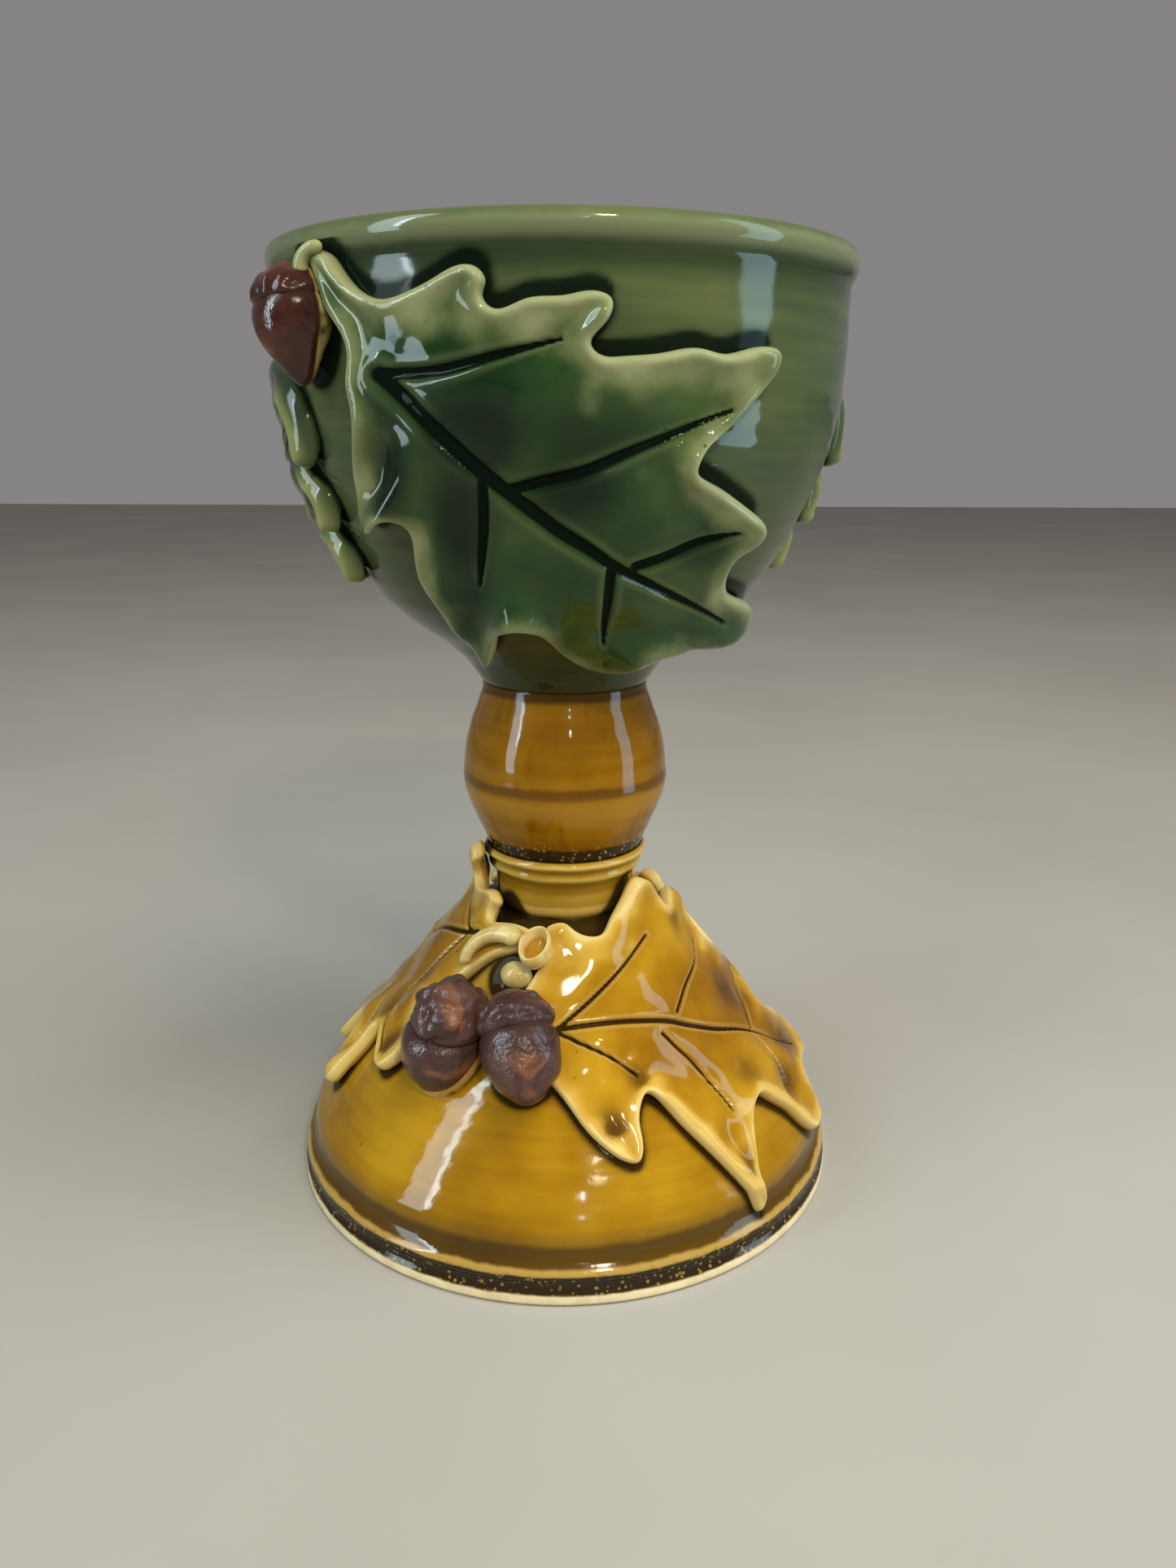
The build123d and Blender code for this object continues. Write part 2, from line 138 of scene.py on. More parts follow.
# Places where the glaze lies deep; where the last number is below 0, a painted highlight that makes the leaf
# paler where the light falls on its upper and right parts.
FRONT_LEAF_POOLS_AND_PAINTED_LIGHT = [
    (-13, 166, 9, 7, 1), (-28, 160, 4, 9, 0.9), (-17, 152, 6, 10, 0.9), (2, 157, 10, 5, 0.7),
    (4, 167, 12, 6, 0.45), (24, 146, 7, 5, 0.45), (-16, 137, 5, 6, 0.5), (-19, 183.5, 8, 4.5, -0.65),
    (-2, 182, 8, 4.5, -0.65), (19, 174.5, 13, 4.5, -0.6), (29, 153, 6, 4.5, -0.55),
]

HANGING_LEAF_SIDE = [
    (6, 179.4), (11.5, 178), (16.4, 174.8), (19.8, 170.4), (20.6, 165.6), (18.6, 161.2), (14.6, 160.6),
    (10.2, 163), (13.4, 158.8), (16.6, 156), (16.8, 151.8), (14.2, 148.9), (10.6, 149.8), (6.8, 152.6),
    (10, 148.2), (12.9, 145), (12.6, 141.2), (9.6, 138.9), (5.2, 140),
]
HANGING_LEAF_OTHER_SIDE = [(-across, up) for across, up in reversed(HANGING_LEAF_SIDE)]
HANGING_LEAF = [(0, 178.4), *HANGING_LEAF_SIDE, (0, 137.2), *HANGING_LEAF_OTHER_SIDE]


def with_mirror(lines):
    """Lines of (across, up, ...), each followed by its mirror image across the leaf's middle."""
    return [[(side * across, *rest) for across, *rest in line] for line in lines for side in (1, -1)]


HANGING_LEAF_VEINS = [[(0, 176), (-1, 168), (-0.6, 158), (0, 141)]] + with_mirror([
    [(0.6, 172), (5, 168), (8.4, 164.4)],
    [(0.4, 160), (3.6, 156.4), (5.6, 153.6)],
])
# Ribs stand up along the drooping lobes.
HANGING_LEAF_RIBS = with_mirror([
    [(9.4, 175.4), (13.9, 171.4), (16.4, 167), (16.4, 163.8)],
    [(7.6, 161.6), (11.4, 157.8), (13.7, 154.2), (13.8, 151.6)],
    [(5, 150.8), (8.2, 147.2), (10.2, 144.4), (10.2, 141.8)],
])
HANGING_LEAF_RUFFLES = sum(with_mirror([
    [(16, 161, 4, 3, 1.2), (14, 149.5, 3.6, 3, 1.2), (10, 139.5, 3.6, 3, 1)],
]), [])

FOOT_LEAF_RIGHT = [
    (-27.4, -10.4), (-23.6, -5.6), (-19.9, -2.4), (-16.9, 2.2), (-14.6, 5.6), (-12.2, 5.4), (-10.9, 2.8),
    (-6.8, 0.2), (-3.4, 2.8), (1.9, 7.8), (5, 10.9), (7.6, 10.6), (9.8, 8.6), (12.2, 4.4), (13.4, 2.6),
    (16.8, 5.6), (20.6, 7.2), (22.6, 3.8), (22.4, -3), (25.4, -8.2), (31.6, -8.8), (36, -12.4),
    (36, -19.6), (35.6, -25.4), (40.6, -27.4), (45.6, -32.4), (45, -39.6), (38.4, -42.4), (36.4, -46.6),
    (35.4, -52.6), (31.4, -56), (27, -53.8), (24.4, -50.6), (18.6, -45.8), (14.2, -43.7), (11.2, -45.2),
    (8.9, -49), (6.8, -54.3), (5.8, -59.7), (6.6, -63.6), (5.2, -65.2), (3.4, -63), (0.2, -56.6),
    (-3.6, -49.4), (-7.2, -42.2), (-9.7, -36.5), (-11.8, -34.4), (-13.9, -36.1), (-15.6, -39.6),
    (-17, -44.2), (-18.8, -46), (-21.2, -44.6), (-23.3, -41.5), (-25.2, -36.6), (-26.2, -30.4),
    (-27.4, -24.3), (-28.4, -17),
]
FOOT_LEAF_RIGHT_VEINS = [
    [(-22.6, -15.3), (-11.8, -18.2), (1.6, -22.9), (10.7, -26.7), (23.9, -30.8), (32.7, -35.3), (40, -37.6)],
    [(-21.8, -15.4), (-14.2, -12.4), (-6.2, -8.6), (3.8, -2.8)],
    [(3, -20.9), (9.7, -15.5), (15.9, -10.5), (20.6, -3.8)],
    [(24.3, -30.1), (27.6, -24.6), (31.6, -16)],
    [(-22.2, -15.9), (-17.6, -21.8), (-13.9, -26.4), (-11.9, -30.4)],
    [(-3, -24.1), (0.8, -30.9), (4.1, -38.3), (5.4, -44.2)],
    [(22.6, -31.6), (25.9, -37.9), (27.4, -44.4)],
]
FOOT_LEAF_RIGHT_RUFFLES = [
    (-12, -36, 3, 4, 1.2), (13, -45, 3.6, 4, 1), (-14, 4, 3, 3, 1), (6, 8.5, 4, 3.4, 0.6),
    (20.6, 4, 4, 4, 1.4), (44, -36, 4, 6, 1),
]

# Rolled edges of the foot's leaves.
FOOT_LEAF_RIGHT_RIBS = [
    [(-8.2, -36.8), (-5.6, -41.8), (-2, -49), (1.8, -56), (4.2, -61)],
    [(15.4, -42.6), (19.4, -44.7), (25, -49.5), (27.8, -52.4)],
]
FOOT_LEAF_RIGHT_DENTS = [
    (-21, -39, 2.2, 5, 0.7), (2, -52, 2.2, 6, 0.5), (27, -47, 4, 4, 0.6),
]
# Places where the glaze lies deep; the last two, below 0, are painted highlights that make the upper left of
# the leaf paler where the light falls.
FOOT_LEAF_RIGHT_POOLS_AND_PAINTED_LIGHT = [
    (-20.6, -39, 3, 5.5, 0.9), (22, -20, 6, 7, 0.8), (14, -38, 6, 5, 0.6), (-12, -32, 3.4, 4, 0.55),
    (3.6, -56, 2, 5, 0.7), (36, -34, 6, 8, 0.6), (13, 0, 3, 6, 0.6), (28, -44, 6, 5, 0.6),
    (-12, -4, 9, 6, -0.6), (3, 3, 6, 6, -0.4),
]

FOOT_LEAF_LEFT = [
    (1.6, 13.6), (-0.6, 11.4), (-1.6, 8.6), (-0.4, 6.8), (3, 7.2), (6.6, 8.5), (8.4, 6.8), (8, 4.2),
    (8.8, 2), (11.8, 3.4), (15.6, 5.4), (18.6, 5.4), (18.6, 2), (15.6, -3.6), (13.8, -9.2), (11.8, -15.6),
    (9.4, -20.4), (9.2, -24.4), (12, -29.4), (13.4, -34.4), (11.8, -38.4), (7.8, -38), (2.6, -35.2),
    (-0.8, -34), (-1.4, -39), (-1.8, -45.4), (-3.2, -51.6), (-5.6, -52), (-8.8, -47.4), (-12.4, -39.6),
    (-15.6, -38), (-20, -42), (-26, -48.6), (-30.4, -46), (-31, -39.2), (-35, -36.6),
    (-41, -36.6), (-42.2, -30), (-36, -25.6), (-33, -21.4), (-35, -13.4), (-31, -8.6),
    (-25.4, -10.2), (-22, -8.6), (-20.6, -1), (-16.4, 4.4), (-11, 5.6), (-8, 8.4), (-4.2, 13.6), (-0.8, 15.4),
]
FOOT_LEAF_LEFT_VEINS = [
    [(8.4, -2), (5.9, -3.5), (-5.6, -7.9), (-15, -13), (-25, -20.6), (-36, -31.6)],
    [(6.2, -2.6), (4.6, -8.4), (3.1, -13.6), (0.1, -22.4), (-1.6, -28.4), (2.6, -33), (8.8, -36.6)],
    [(5.7, -3.2), (-2, 0.4), (-6, 5), (-4.6, 9.6)],
    [(-15, -13), (-12, -22), (-9, -32), (-6, -43)],
    [(-14, -12.4), (-18, -8), (-18.6, -2)],
]
FOOT_LEAF_LEFT_RIBS = [
    [(-2.6, -36), (-3.2, -40), (-3.6, -45.6), (-4.8, -50)],
]
FOOT_LEAF_LEFT_DENTS = [
    (8, -30, 2.2, 4, 0.5),
]
FOOT_LEAF_LEFT_POOLS = [
    (9, -33, 3, 5, 0.8), (-3, -30, 4, 6, 0.5), (-22, -26, 7, 6, 0.5), (4, -18, 3, 5, 0.4),
]
FOOT_LEAF_LEFT_RUFFLES = [
    (-0.6, 11.5, 4, 4, 1), (6.5, 7, 2.6, 2.6, 1.2), (11, -37, 4, 3.4, 1), (-4, -49, 4, 5, 0.8),
]


# ---- curves and noise ----
# Points measured against a line at a time, which keeps the arrays small.
BATCH = 4000


def spline(points, spacing, closed=False):
    """Evenly spaced points of the cubic spline through the given points."""
    p = np.array(points, float)
    if closed:
        p = np.vstack([p, p[:1]])
    step = np.hypot(*np.diff(p, axis=0).T)
    t = np.concatenate([[0], np.cumsum(step)])
    n = len(p)
    m = np.zeros((n, n))
    rhs = np.zeros((n, 2))
    for i in range(1, n - 1):
        m[i, i - 1], m[i, i], m[i, i + 1] = step[i - 1], 2 * (step[i - 1] + step[i]), step[i]
        rhs[i] = 6 * ((p[i + 1] - p[i]) / step[i] - (p[i] - p[i - 1]) / step[i - 1])
    if closed:
        m[0, 0], m[0, -1] = 1, -1
        m[-1, 0], m[-1, 1] = 2 * step[0], step[0]
        m[-1, -2], m[-1, -1] = step[-1], 2 * step[-1]
        rhs[-1] = 6 * ((p[1] - p[0]) / step[0] - (p[-1] - p[-2]) / step[-1])
    else:
        m[0, 0] = m[-1, -1] = 1
    bend = np.linalg.solve(m, rhs)
    count = max(int(round(t[-1] / spacing)), 2)
    s = np.linspace(0, t[-1], count + 1)
    k = np.clip(np.searchsorted(t, s, side="right") - 1, 0, n - 2)
    h, a, b = step[k], t[k + 1] - s, s - t[k]
    h, a, b = h[:, None], a[:, None], b[:, None]
    curve = (bend[k] * a**3 + bend[k + 1] * b**3) / (6 * h)
    curve += (p[k] / h - bend[k] * h / 6) * a + (p[k + 1] / h - bend[k + 1] * h / 6) * b
    return curve[:-1] if closed else curve


def waves(positions, wavelength, seed, count=9):
    """Smooth noise of about -1 to 1: a sum of sine waves in random directions."""
    rng = np.random.default_rng(seed)
    total = np.zeros(len(positions))
    for _ in range(count):
        direction = rng.normal(size=positions.shape[1])
        direction *= 2 * math.pi / (wavelength * rng.uniform(0.7, 1.6) * np.linalg.norm(direction))
        total += np.sin(positions @ direction + rng.uniform(0, 2 * math.pi))
    return total / math.sqrt(count / 2) / 1.6


def smoothstep(low, high, value):
    t = np.clip((value - low) / (high - low), 0, 1)
    return t * t * (3 - 2 * t)


def distance_to_line(points, line, closed=False):
    """Distance of each point from a line of points, in a plane."""
    start = line if closed else line[:-1]
    end = np.roll(line, -1, axis=0) if closed else line[1:]
    along = end - start
    length2 = np.maximum((along**2).sum(1), 1e-12)
    nearest = np.zeros((len(points), 2))
    for first in range(0, len(points), BATCH):
        part = points[first:first + BATCH, None, :] - start[None]
        t = np.clip((part * along[None]).sum(2) / length2, 0, 1)
        gap = part - t[..., None] * along[None]
        closest = (gap**2).sum(2).argmin(1)
        nearest[first:first + BATCH] = gap[np.arange(len(gap)), closest]
    return np.linalg.norm(nearest, axis=1)


def height_over_edge(points, line, reach=0.8):
    """1 above the nearby part of a closed line, -1 below it, and smooth half way between two parts."""
    above = np.zeros(len(points))
    for first in range(0, len(points), BATCH):
        part = points[first:first + BATCH, None, :] - line[None]
        d = np.linalg.norm(part, axis=2)
        weight = np.exp((d.min(1)[:, None] - d) / reach)
        above[first:first + BATCH] = (weight * part[..., 1] / np.maximum(d, 1e-4)).sum(1) / weight.sum(1)
    return above


def inside_line(points, line):
    """True for each point inside a closed line."""
    x, y = points[:, 0], points[:, 1]
    inside = np.zeros(len(points), bool)
    for (x0, y0), (x1, y1) in zip(line, np.roll(line, -1, axis=0)):
        crosses = (y0 > y) != (y1 > y)
        if y0 != y1:
            inside ^= crosses & (x < (x1 - x0) * (y - y0) / (y1 - y0) + x0)
    return inside


# ---- meshes ----
def new_object(name, positions, faces, attributes=None):
    """Mesh object from positions in millimetres and a list of faces."""
    mesh = bpy.data.meshes.new(name)
    mesh.from_pydata((positions * MM).tolist(), [], [list(f) for f in faces])
    mesh.validate()
    for key, values in (attributes or {}).items():
        layer = mesh.attributes.new(key, "FLOAT", "POINT")
        layer.data.foreach_set("value", np.asarray(values, np.float32))
    mesh.polygons.foreach_set("use_smooth", [True] * len(mesh.polygons))
    mesh.update()
    obj = bpy.data.objects.new(name, mesh)
    bpy.context.scene.collection.objects.link(obj)
    return obj


def turned_grid(section, segments, closed=False):
    """Positions and faces of a section turned about Z. A point on the axis becomes a pole."""
    turn = np.linspace(0, 2 * math.pi, segments, endpoint=False)
    positions, rings = [], []
    for r, z in section:
        if r < 1e-6:
            rings.append([len(positions)] * segments)
            positions.append((0.0, 0.0, z))
        else:
            rings.append(list(range(len(positions), len(positions) + segments)))
            positions.extend(zip(r * np.sin(turn), -r * np.cos(turn), [z] * segments))
    faces = []
    pairs = list(zip(rings, rings[1:]))
    if closed:
        pairs.append((rings[-1], rings[0]))
    for low, high in pairs:
        for i in range(segments):
            j = (i + 1) % segments
            corners = [low[i], low[j], high[j], high[i]]
            faces.append([c for k, c in enumerate(corners) if c not in corners[:k]])
    return np.array(positions), faces


def pole_section(points, spacing):
    """Smooth section with both ends on the axis."""
    section = spline(points, spacing)
    section[0, 0] = section[-1, 0] = 0
    return section


class Wall:
    """Outside of a thrown piece: the radius and the outward normal at a height."""

    def __init__(self, points):
        line = spline(points, 0.2)
        self.z = line[:, 1]
        self.r = line[:, 0]
        dr, dz = np.gradient(self.r), np.gradient(self.z)
        length = np.hypot(dr, dz)
        self.out, self.up = dz / length, -dr / length

    def radius(self, z):
        return np.interp(z, self.z, self.r)

    def normal(self, position):
        """Outward unit normals of the wall at positions on it."""
        out = np.interp(position[:, 2], self.z, self.out)
        up = np.interp(position[:, 2], self.z, self.up)
        flat = position[:, :2] / np.linalg.norm(position[:, :2], axis=1)[:, None]
        return np.column_stack([flat * out[:, None], up])


class Facing:
    """Plane that looks outwards at an angle, tipped up by tilt, through the axis at a height."""

    def __init__(self, turn, tilt=0.0, height=0.0):
        a, t = math.radians(turn), math.radians(tilt)
        self.out = np.array([math.sin(a) * math.cos(t), -math.cos(a) * math.cos(t), math.sin(t)])
        self.across = np.array([math.cos(a), math.sin(a), 0.0])
        self.up = np.cross(self.out, self.across)
        self.origin = np.array([0.0, 0.0, height])

    def point(self, across, up, out):
        return self.origin + self.across * across + self.up * up + self.out * out

    def flat(self, positions):
        """(across, up) of positions, and how far out each is."""
        moved = positions - self.origin
        return np.column_stack([moved @ self.across, moved @ self.up]), moved @ self.out

    def onto(self, wall, flat):
        """Positions where points of the plane meet the wall, found by halving."""
        base = self.origin + flat[:, :1] * self.across + flat[:, 1:] * self.up
        near, far = np.full(len(flat), 4.0), np.full(len(flat), 90.0)
        for _ in range(40):
            middle = (near + far) / 2
            p = base + middle[:, None] * self.out
            within = np.hypot(p[:, 0], p[:, 1]) < wall.radius(p[:, 2])
            near, far = np.where(within, middle, near), np.where(within, far, middle)
        return base + near[:, None] * self.out


# Side veins against the main one, and the half width below which no vein tapers.
SIDE_VEIN, THINNEST_VEIN = 0.72, 0.34


def vein_depth(flat, veins, half_width):
    """How far into an incised vein each point is, on its raised shoulder, and in the valley round it."""
    groove, shoulder, valley = np.zeros(len(flat)), np.zeros(len(flat)), np.zeros(len(flat))
    for number, vein in enumerate(veins):
        line = spline(vein, 0.6)
        d = distance_to_line(flat, line)
        along = (flat - line[0]) @ (line[-1] - line[0]) / ((line[-1] - line[0]) ** 2).sum()
        half = half_width * (1.0 if number == 0 else SIDE_VEIN) * (1.05 - 0.8 * np.clip(along, 0, 1) ** 3)
        half = np.maximum(half, THINNEST_VEIN)
        groove = np.maximum(groove, np.exp(-((d / half) ** 4)))
        shoulder = np.maximum(shoulder, np.exp(-(((d - 1.75 * half) / (0.6 * half)) ** 2)))
        valley = np.maximum(valley, np.exp(-((d / (3.6 * half + 1.2)) ** 2)))
    return groove, shoulder * (1 - groove), valley


def spots(flat, places):
    """Highest of some soft round spots, each (across, up, reach across, reach up, amount)."""
    total = np.zeros(len(flat))
    for across, up, reach_across, reach_up, amount in places:
        away = ((flat[:, 0] - across) / reach_across) ** 2 + ((flat[:, 1] - up) / reach_up) ** 2
        total = np.maximum(total, amount * np.exp(-away))
    return total


def turned(positions, degrees):
    a = math.radians(degrees)
    return positions @ np.array([[math.cos(a), math.sin(a), 0], [-math.sin(a), math.cos(a), 0], [0, 0, 1]])


# Spacing of a leaf's points along its border and inside it.
BORDER_PITCH, GRID_PITCH = 0.4, 0.5
# How far in from the border the rings of points that round the edge lie, and where the plain grid starts.
EDGE_RINGS, GRID_START = (0.08, 0.26, 0.56), 0.85


def filled(border):
    """Points and triangles that fill a closed line, closer together along it."""
    low, high = border.min(0), border.max(0)
    xs = np.arange(low[0], high[0], GRID_PITCH)
    ys = np.arange(low[1], high[1], GRID_PITCH * 0.866)
    grid = np.array([(x + (i % 2) * GRID_PITCH / 2, y) for i, y in enumerate(ys) for x in xs])
    grid = grid[inside_line(grid, border)]
    grid = grid[distance_to_line(grid, border, closed=True) > GRID_START]
    ahead = np.roll(border, -1, axis=0) - np.roll(border, 1, axis=0)
    inward = np.column_stack([ahead[:, 1], -ahead[:, 0]]) / np.linalg.norm(ahead, axis=1)[:, None]
    if not inside_line(border[:1] + inward[:1] * 0.1, border)[0]:
        inward = -inward
    rings = []
    for inset in EDGE_RINGS:
        ring = border + inward * inset
        ring = ring[inside_line(ring, border)]
        rings.append(ring[distance_to_line(ring, border, closed=True) > 0.93 * inset])
    flat = np.vstack([border] + rings + [grid])
    edge = [(i, (i + 1) % len(border)) for i in range(len(border))]
    made = delaunay_2d_cdt([Vector(p) for p in flat], edge, [], 1, 1e-5, False)
    flat = np.array([tuple(v) for v in made[0]])
    triangles = np.array([tuple(f) for f in made[2]])
    return flat, [tuple(t) for t in triangles[inside_line(flat[triangles].mean(1), border)]]


def rib_bumps(flat, ribs, width, tall):
    """How near its crest each point of a rib is, from 0 to 1. Tall ribs fade in from their first point."""
    rib = np.zeros(len(flat))
    for line in ribs:
        bump = np.exp(-((distance_to_line(flat, spline(line, 0.5)) / width) ** 2))
        if tall:
            bump *= smoothstep(-1.0, 6.5, np.linalg.norm(flat - np.array(line[0]), axis=1))
        rib = np.maximum(rib, bump)
    return rib


def leaf_sheet(name, facing, wall, outline, veins, ruffles, dents, pools_and_painted_light, ribs, look, seed, turn=0.0):
    """Leaf of soft clay on a wall: a closed sheet with rounded edges, cut veins and lifted ruffles."""
    thickness, half_vein, nose_radius, ridge, low_edge, rib_width, rib_lift = look
    border = spline(outline, BORDER_PITCH, closed=True)
    flat, triangles = filled(border)
    d = distance_to_line(flat, border, closed=True)
    foot = facing.onto(wall, flat)
    normal = wall.normal(foot)

    # How far the two faces stand off the wall, by the distance d in from the border. The upper one has a ridge
    # along its edge, a sunk middle, a gentle swell, and the veins, ribs and dents.
    groove, shoulder, valley = vein_depth(flat, veins, half_vein)
    lift = spots(flat, ruffles) * smoothstep(14.0, 1.0, d)
    tall_ribs = rib_lift > 1
    rib = rib_bumps(flat, ribs, rib_width, tall_ribs)
    nose = np.sqrt(1 - (1 - np.clip(d / nose_radius, 0, 1)) ** 2)
    swell = waves(flat, 11.0, seed) * 0.3 + waves(flat, 26.0, seed + 1) * 0.45
    edge_ridge = ridge * np.exp(-(((d - 1.3) / 0.9) ** 2)) * (1 + 0.6 * waves(flat, 14.0, seed + 2))
    relief = edge_ridge - 0.6 * smoothstep(1.6, 8.0, d) + swell * smoothstep(0.5, 4.0, d)
    standing = rib_lift * rib * smoothstep(0.0, 1.6, d)
    relief += 0.18 * shoulder - 0.55 * valley * smoothstep(0.6, 3.0, d) + standing
    relief -= 0.9 * groove * smoothstep(0.3, 1.6, d) + spots(flat, dents) * smoothstep(0.2, 1.6, d)
    relief = np.maximum(relief, 0.3 - thickness)
    middle = lift + 0.48 * thickness
    top = middle + (0.52 * thickness + relief) * nose
    under = middle - (0.48 * thickness + 0.3 * (lift < 0.4)) * nose
    top_positions = foot + normal * top[:, None]
    under_positions = foot + normal * under[:, None]

    # The two faces share the border's vertices.
    inner = np.flatnonzero(d >= 1e-4)
    under_index = np.arange(len(flat))
    under_index[inner] = len(flat) + np.arange(len(inner))
    positions = np.vstack([top_positions, under_positions[inner]])
    a, b, c = (positions[list(triangles[0])][k] for k in range(3))
    if np.dot(np.cross(b - a, c - a), facing.out) < 0:
        triangles = [t[::-1] for t in triangles]
    faces = triangles + [tuple(under_index[list(t[::-1])]) for t in triangles]

    # What the glaze goes by. Depth into the leaf counts more above a low edge, less under the painted
    # highlights where light falls on the leaf.
    upwards = height_over_edge(flat, border) if low_edge else 0
    depth = d * (1 + 0.35 * waves(flat, 9.0, seed + 3)) * (1 + low_edge * np.clip(1.15 * upwards, 0, 1))
    # Painted highlights: under the entries below 0, depth shrinks, so the leaf turns pale.
    depth *= 1 - spots(flat, [(*place, -amount) for *place, amount in pools_and_painted_light])
    crest = smoothstep(0.3, 1.05 if tall_ribs else 0.9, rib)
    none = np.zeros(len(inner))
    attributes = {
        "inset": np.concatenate([depth, none + 2.0]),
        "vein": np.concatenate([groove * smoothstep(0.2, 1.2, d), none]),
        "shoulder": np.concatenate([np.maximum(0.6 * shoulder * (rib_lift < 1), crest), none]),
        "pool": np.concatenate([np.clip(spots(flat, pools_and_painted_light) + 0.25 * valley, 0, 1), none]),
    }
    return new_object(name, turned(positions, turn), faces, attributes)


def crevice(positions, wall, marks, reach, spread):
    """1 on a wall right beside what is stuck on it, fading out over reach. Spread drags it (across, up)."""
    # Only the outside, below the lip and on the side that the plane faces, is worth measuring.
    wall_skin, lip_height, near_half = 2.4, 197, 5
    near = np.zeros(len(positions))
    outside = np.hypot(positions[:, 0], positions[:, 1]) > wall.radius(positions[:, 2]) - wall_skin
    outside &= positions[:, 2] < lip_height
    for facing, line, turn in marks:
        flat, out = facing.flat(turned(positions, -turn))
        low, high = line.min(0) - 5 * reach, line.max(0) + 5 * reach
        index = np.flatnonzero(outside & (out > near_half) & (flat > low).all(1) & (flat < high).all(1))
        for move, weight in (((0, 0), 1.0), (spread, 0.8)):
            moved = flat[index] - move
            d = distance_to_line(moved, line, closed=True)
            d = np.where(inside_line(moved, line), 0, d)
            near[index] = np.maximum(near[index], weight * np.exp(-d / reach))
    return near


def oval(across, up, half_across, half_up):
    """Closed line round an acorn or a twig, for the marks they leave."""
    turn = np.linspace(0, 2 * math.pi, 48, endpoint=False)
    return np.column_stack([across + half_across * np.cos(turn), up + half_up * np.sin(turn)])


CREVICE_REACH, GLAZE_POOL_DEPTH = 1.3, 0.25


def thrown(name, section, segments, closed, wall, marks, spread, ring_depth, seed, plain_below):
    """Thrown piece: turned section with faint throwing rings, glaze swelling beside the leaves, and a crevice
    mark for painted shade.
    """
    positions, faces = turned_grid(section, segments, closed)
    r = np.hypot(positions[:, 0], positions[:, 1])
    z = positions[:, 2]
    # Narrow and wide rings that wander up and down a little, on a wall that is slightly out of round.
    wander = z + 0.9 * waves(positions, 75.0, seed + 3)
    rings = waves(wander[:, None], 4.5, seed) * ring_depth
    rings += waves(wander[:, None], 13.0, seed + 1) * ring_depth
    rings += waves(positions, 60.0, seed + 2) * 2 * ring_depth
    rings *= smoothstep(0.0, 4.0, r) * smoothstep(plain_below, plain_below + 6, z)
    near = crevice(positions, wall, marks, CREVICE_REACH, spread)
    swell = rings + GLAZE_POOL_DEPTH * near
    scale = np.where(r > 1e-6, 1 + swell / np.maximum(r, 1), 1)
    positions = positions * np.column_stack([scale, scale, np.ones(len(r))])
    return new_object(name, positions, faces, {"crevice": near})


def placed(positions, origin, z_axis, x_hint):
    """Positions of a local shape moved to an origin with its Z along z_axis."""
    z_axis = z_axis / np.linalg.norm(z_axis)
    x_axis = np.cross(x_hint, z_axis)
    x_axis /= np.linalg.norm(x_axis)
    y_axis = np.cross(z_axis, x_axis)
    return origin + positions @ np.array([x_axis, y_axis, z_axis])


def acorn_axis(facing, lean, tip_out=0.0):
    a, t = math.radians(lean), math.radians(tip_out)
    axis = facing.up * (math.cos(a) * math.cos(t)) - facing.across * (math.sin(a) * math.cos(t))
    return axis + facing.out * math.sin(t)


def seated(name, positions, faces, origin, axis, facing, wall):
    """Piece set in its place. Its seat is 1 where it nearly touches the wall and 0 further off."""
    touching, clear = 1.6, 4.4
    positions = placed(positions, origin, axis, facing.out)
    flat, out = facing.flat(positions)
    rest = facing.flat(facing.onto(wall, flat))[1]
    return new_object(name, positions, faces, {"seat": smoothstep(clear, touching, out - rest)})


NUT_LUMP = 0.22


def nut(name, origin, axis, facing, wall, radius, length, seed, blunt=0.0):
    """Acorn nut, pointed or blunt, its Z from the tip towards the cap."""
    section = pole_section([
        (0.0, -length), ((0.11 + 0.13 * blunt) * radius, (-0.975 - 0.01 * blunt) * length),
        ((0.40 + 0.24 * blunt) * radius, -0.83 * length), ((0.80 + 0.12 * blunt) * radius, -0.56 * length),
        (radius, -0.26 * length), (0.92 * radius, -0.02 * length), (0.6 * radius, 0.09 * length),
        (0.0, 0.13 * length),
    ], 0.35)
    positions, faces = turned_grid(section, 84)
    positions += positions / radius * (waves(positions, 8.0, seed) * NUT_LUMP)[:, None]
    return seated(name, positions, faces, origin, axis, facing, wall)


def cap(name, origin, axis, facing, wall, radius, height, overlap, seed, lump):
    """Knobbly acorn cup, domed over the nut's top, with a rolled rim."""
    section = pole_section([
        (0.0, -0.1 * overlap), (0.72 * radius, -0.4 * overlap), (0.88 * radius, -overlap),
        (radius, -0.55 * overlap), (1.03 * radius, 0.12 * height), (0.92 * radius, 0.5 * height),
        (0.56 * radius, 0.86 * height), (0.2 * radius, height), (0.0, 1.01 * height),
    ], 0.3)
    positions, faces = turned_grid(section, 108)
    knobs = waves(positions, 2.6, seed, 16) * 0.4 + waves(positions, 6.0, seed + 1) * 0.8
    outer = smoothstep(-overlap, 0.0, positions[:, 2])
    positions += positions / radius * (knobs * lump * outer)[:, None]
    return seated(name, positions, faces, origin, axis, facing, wall)


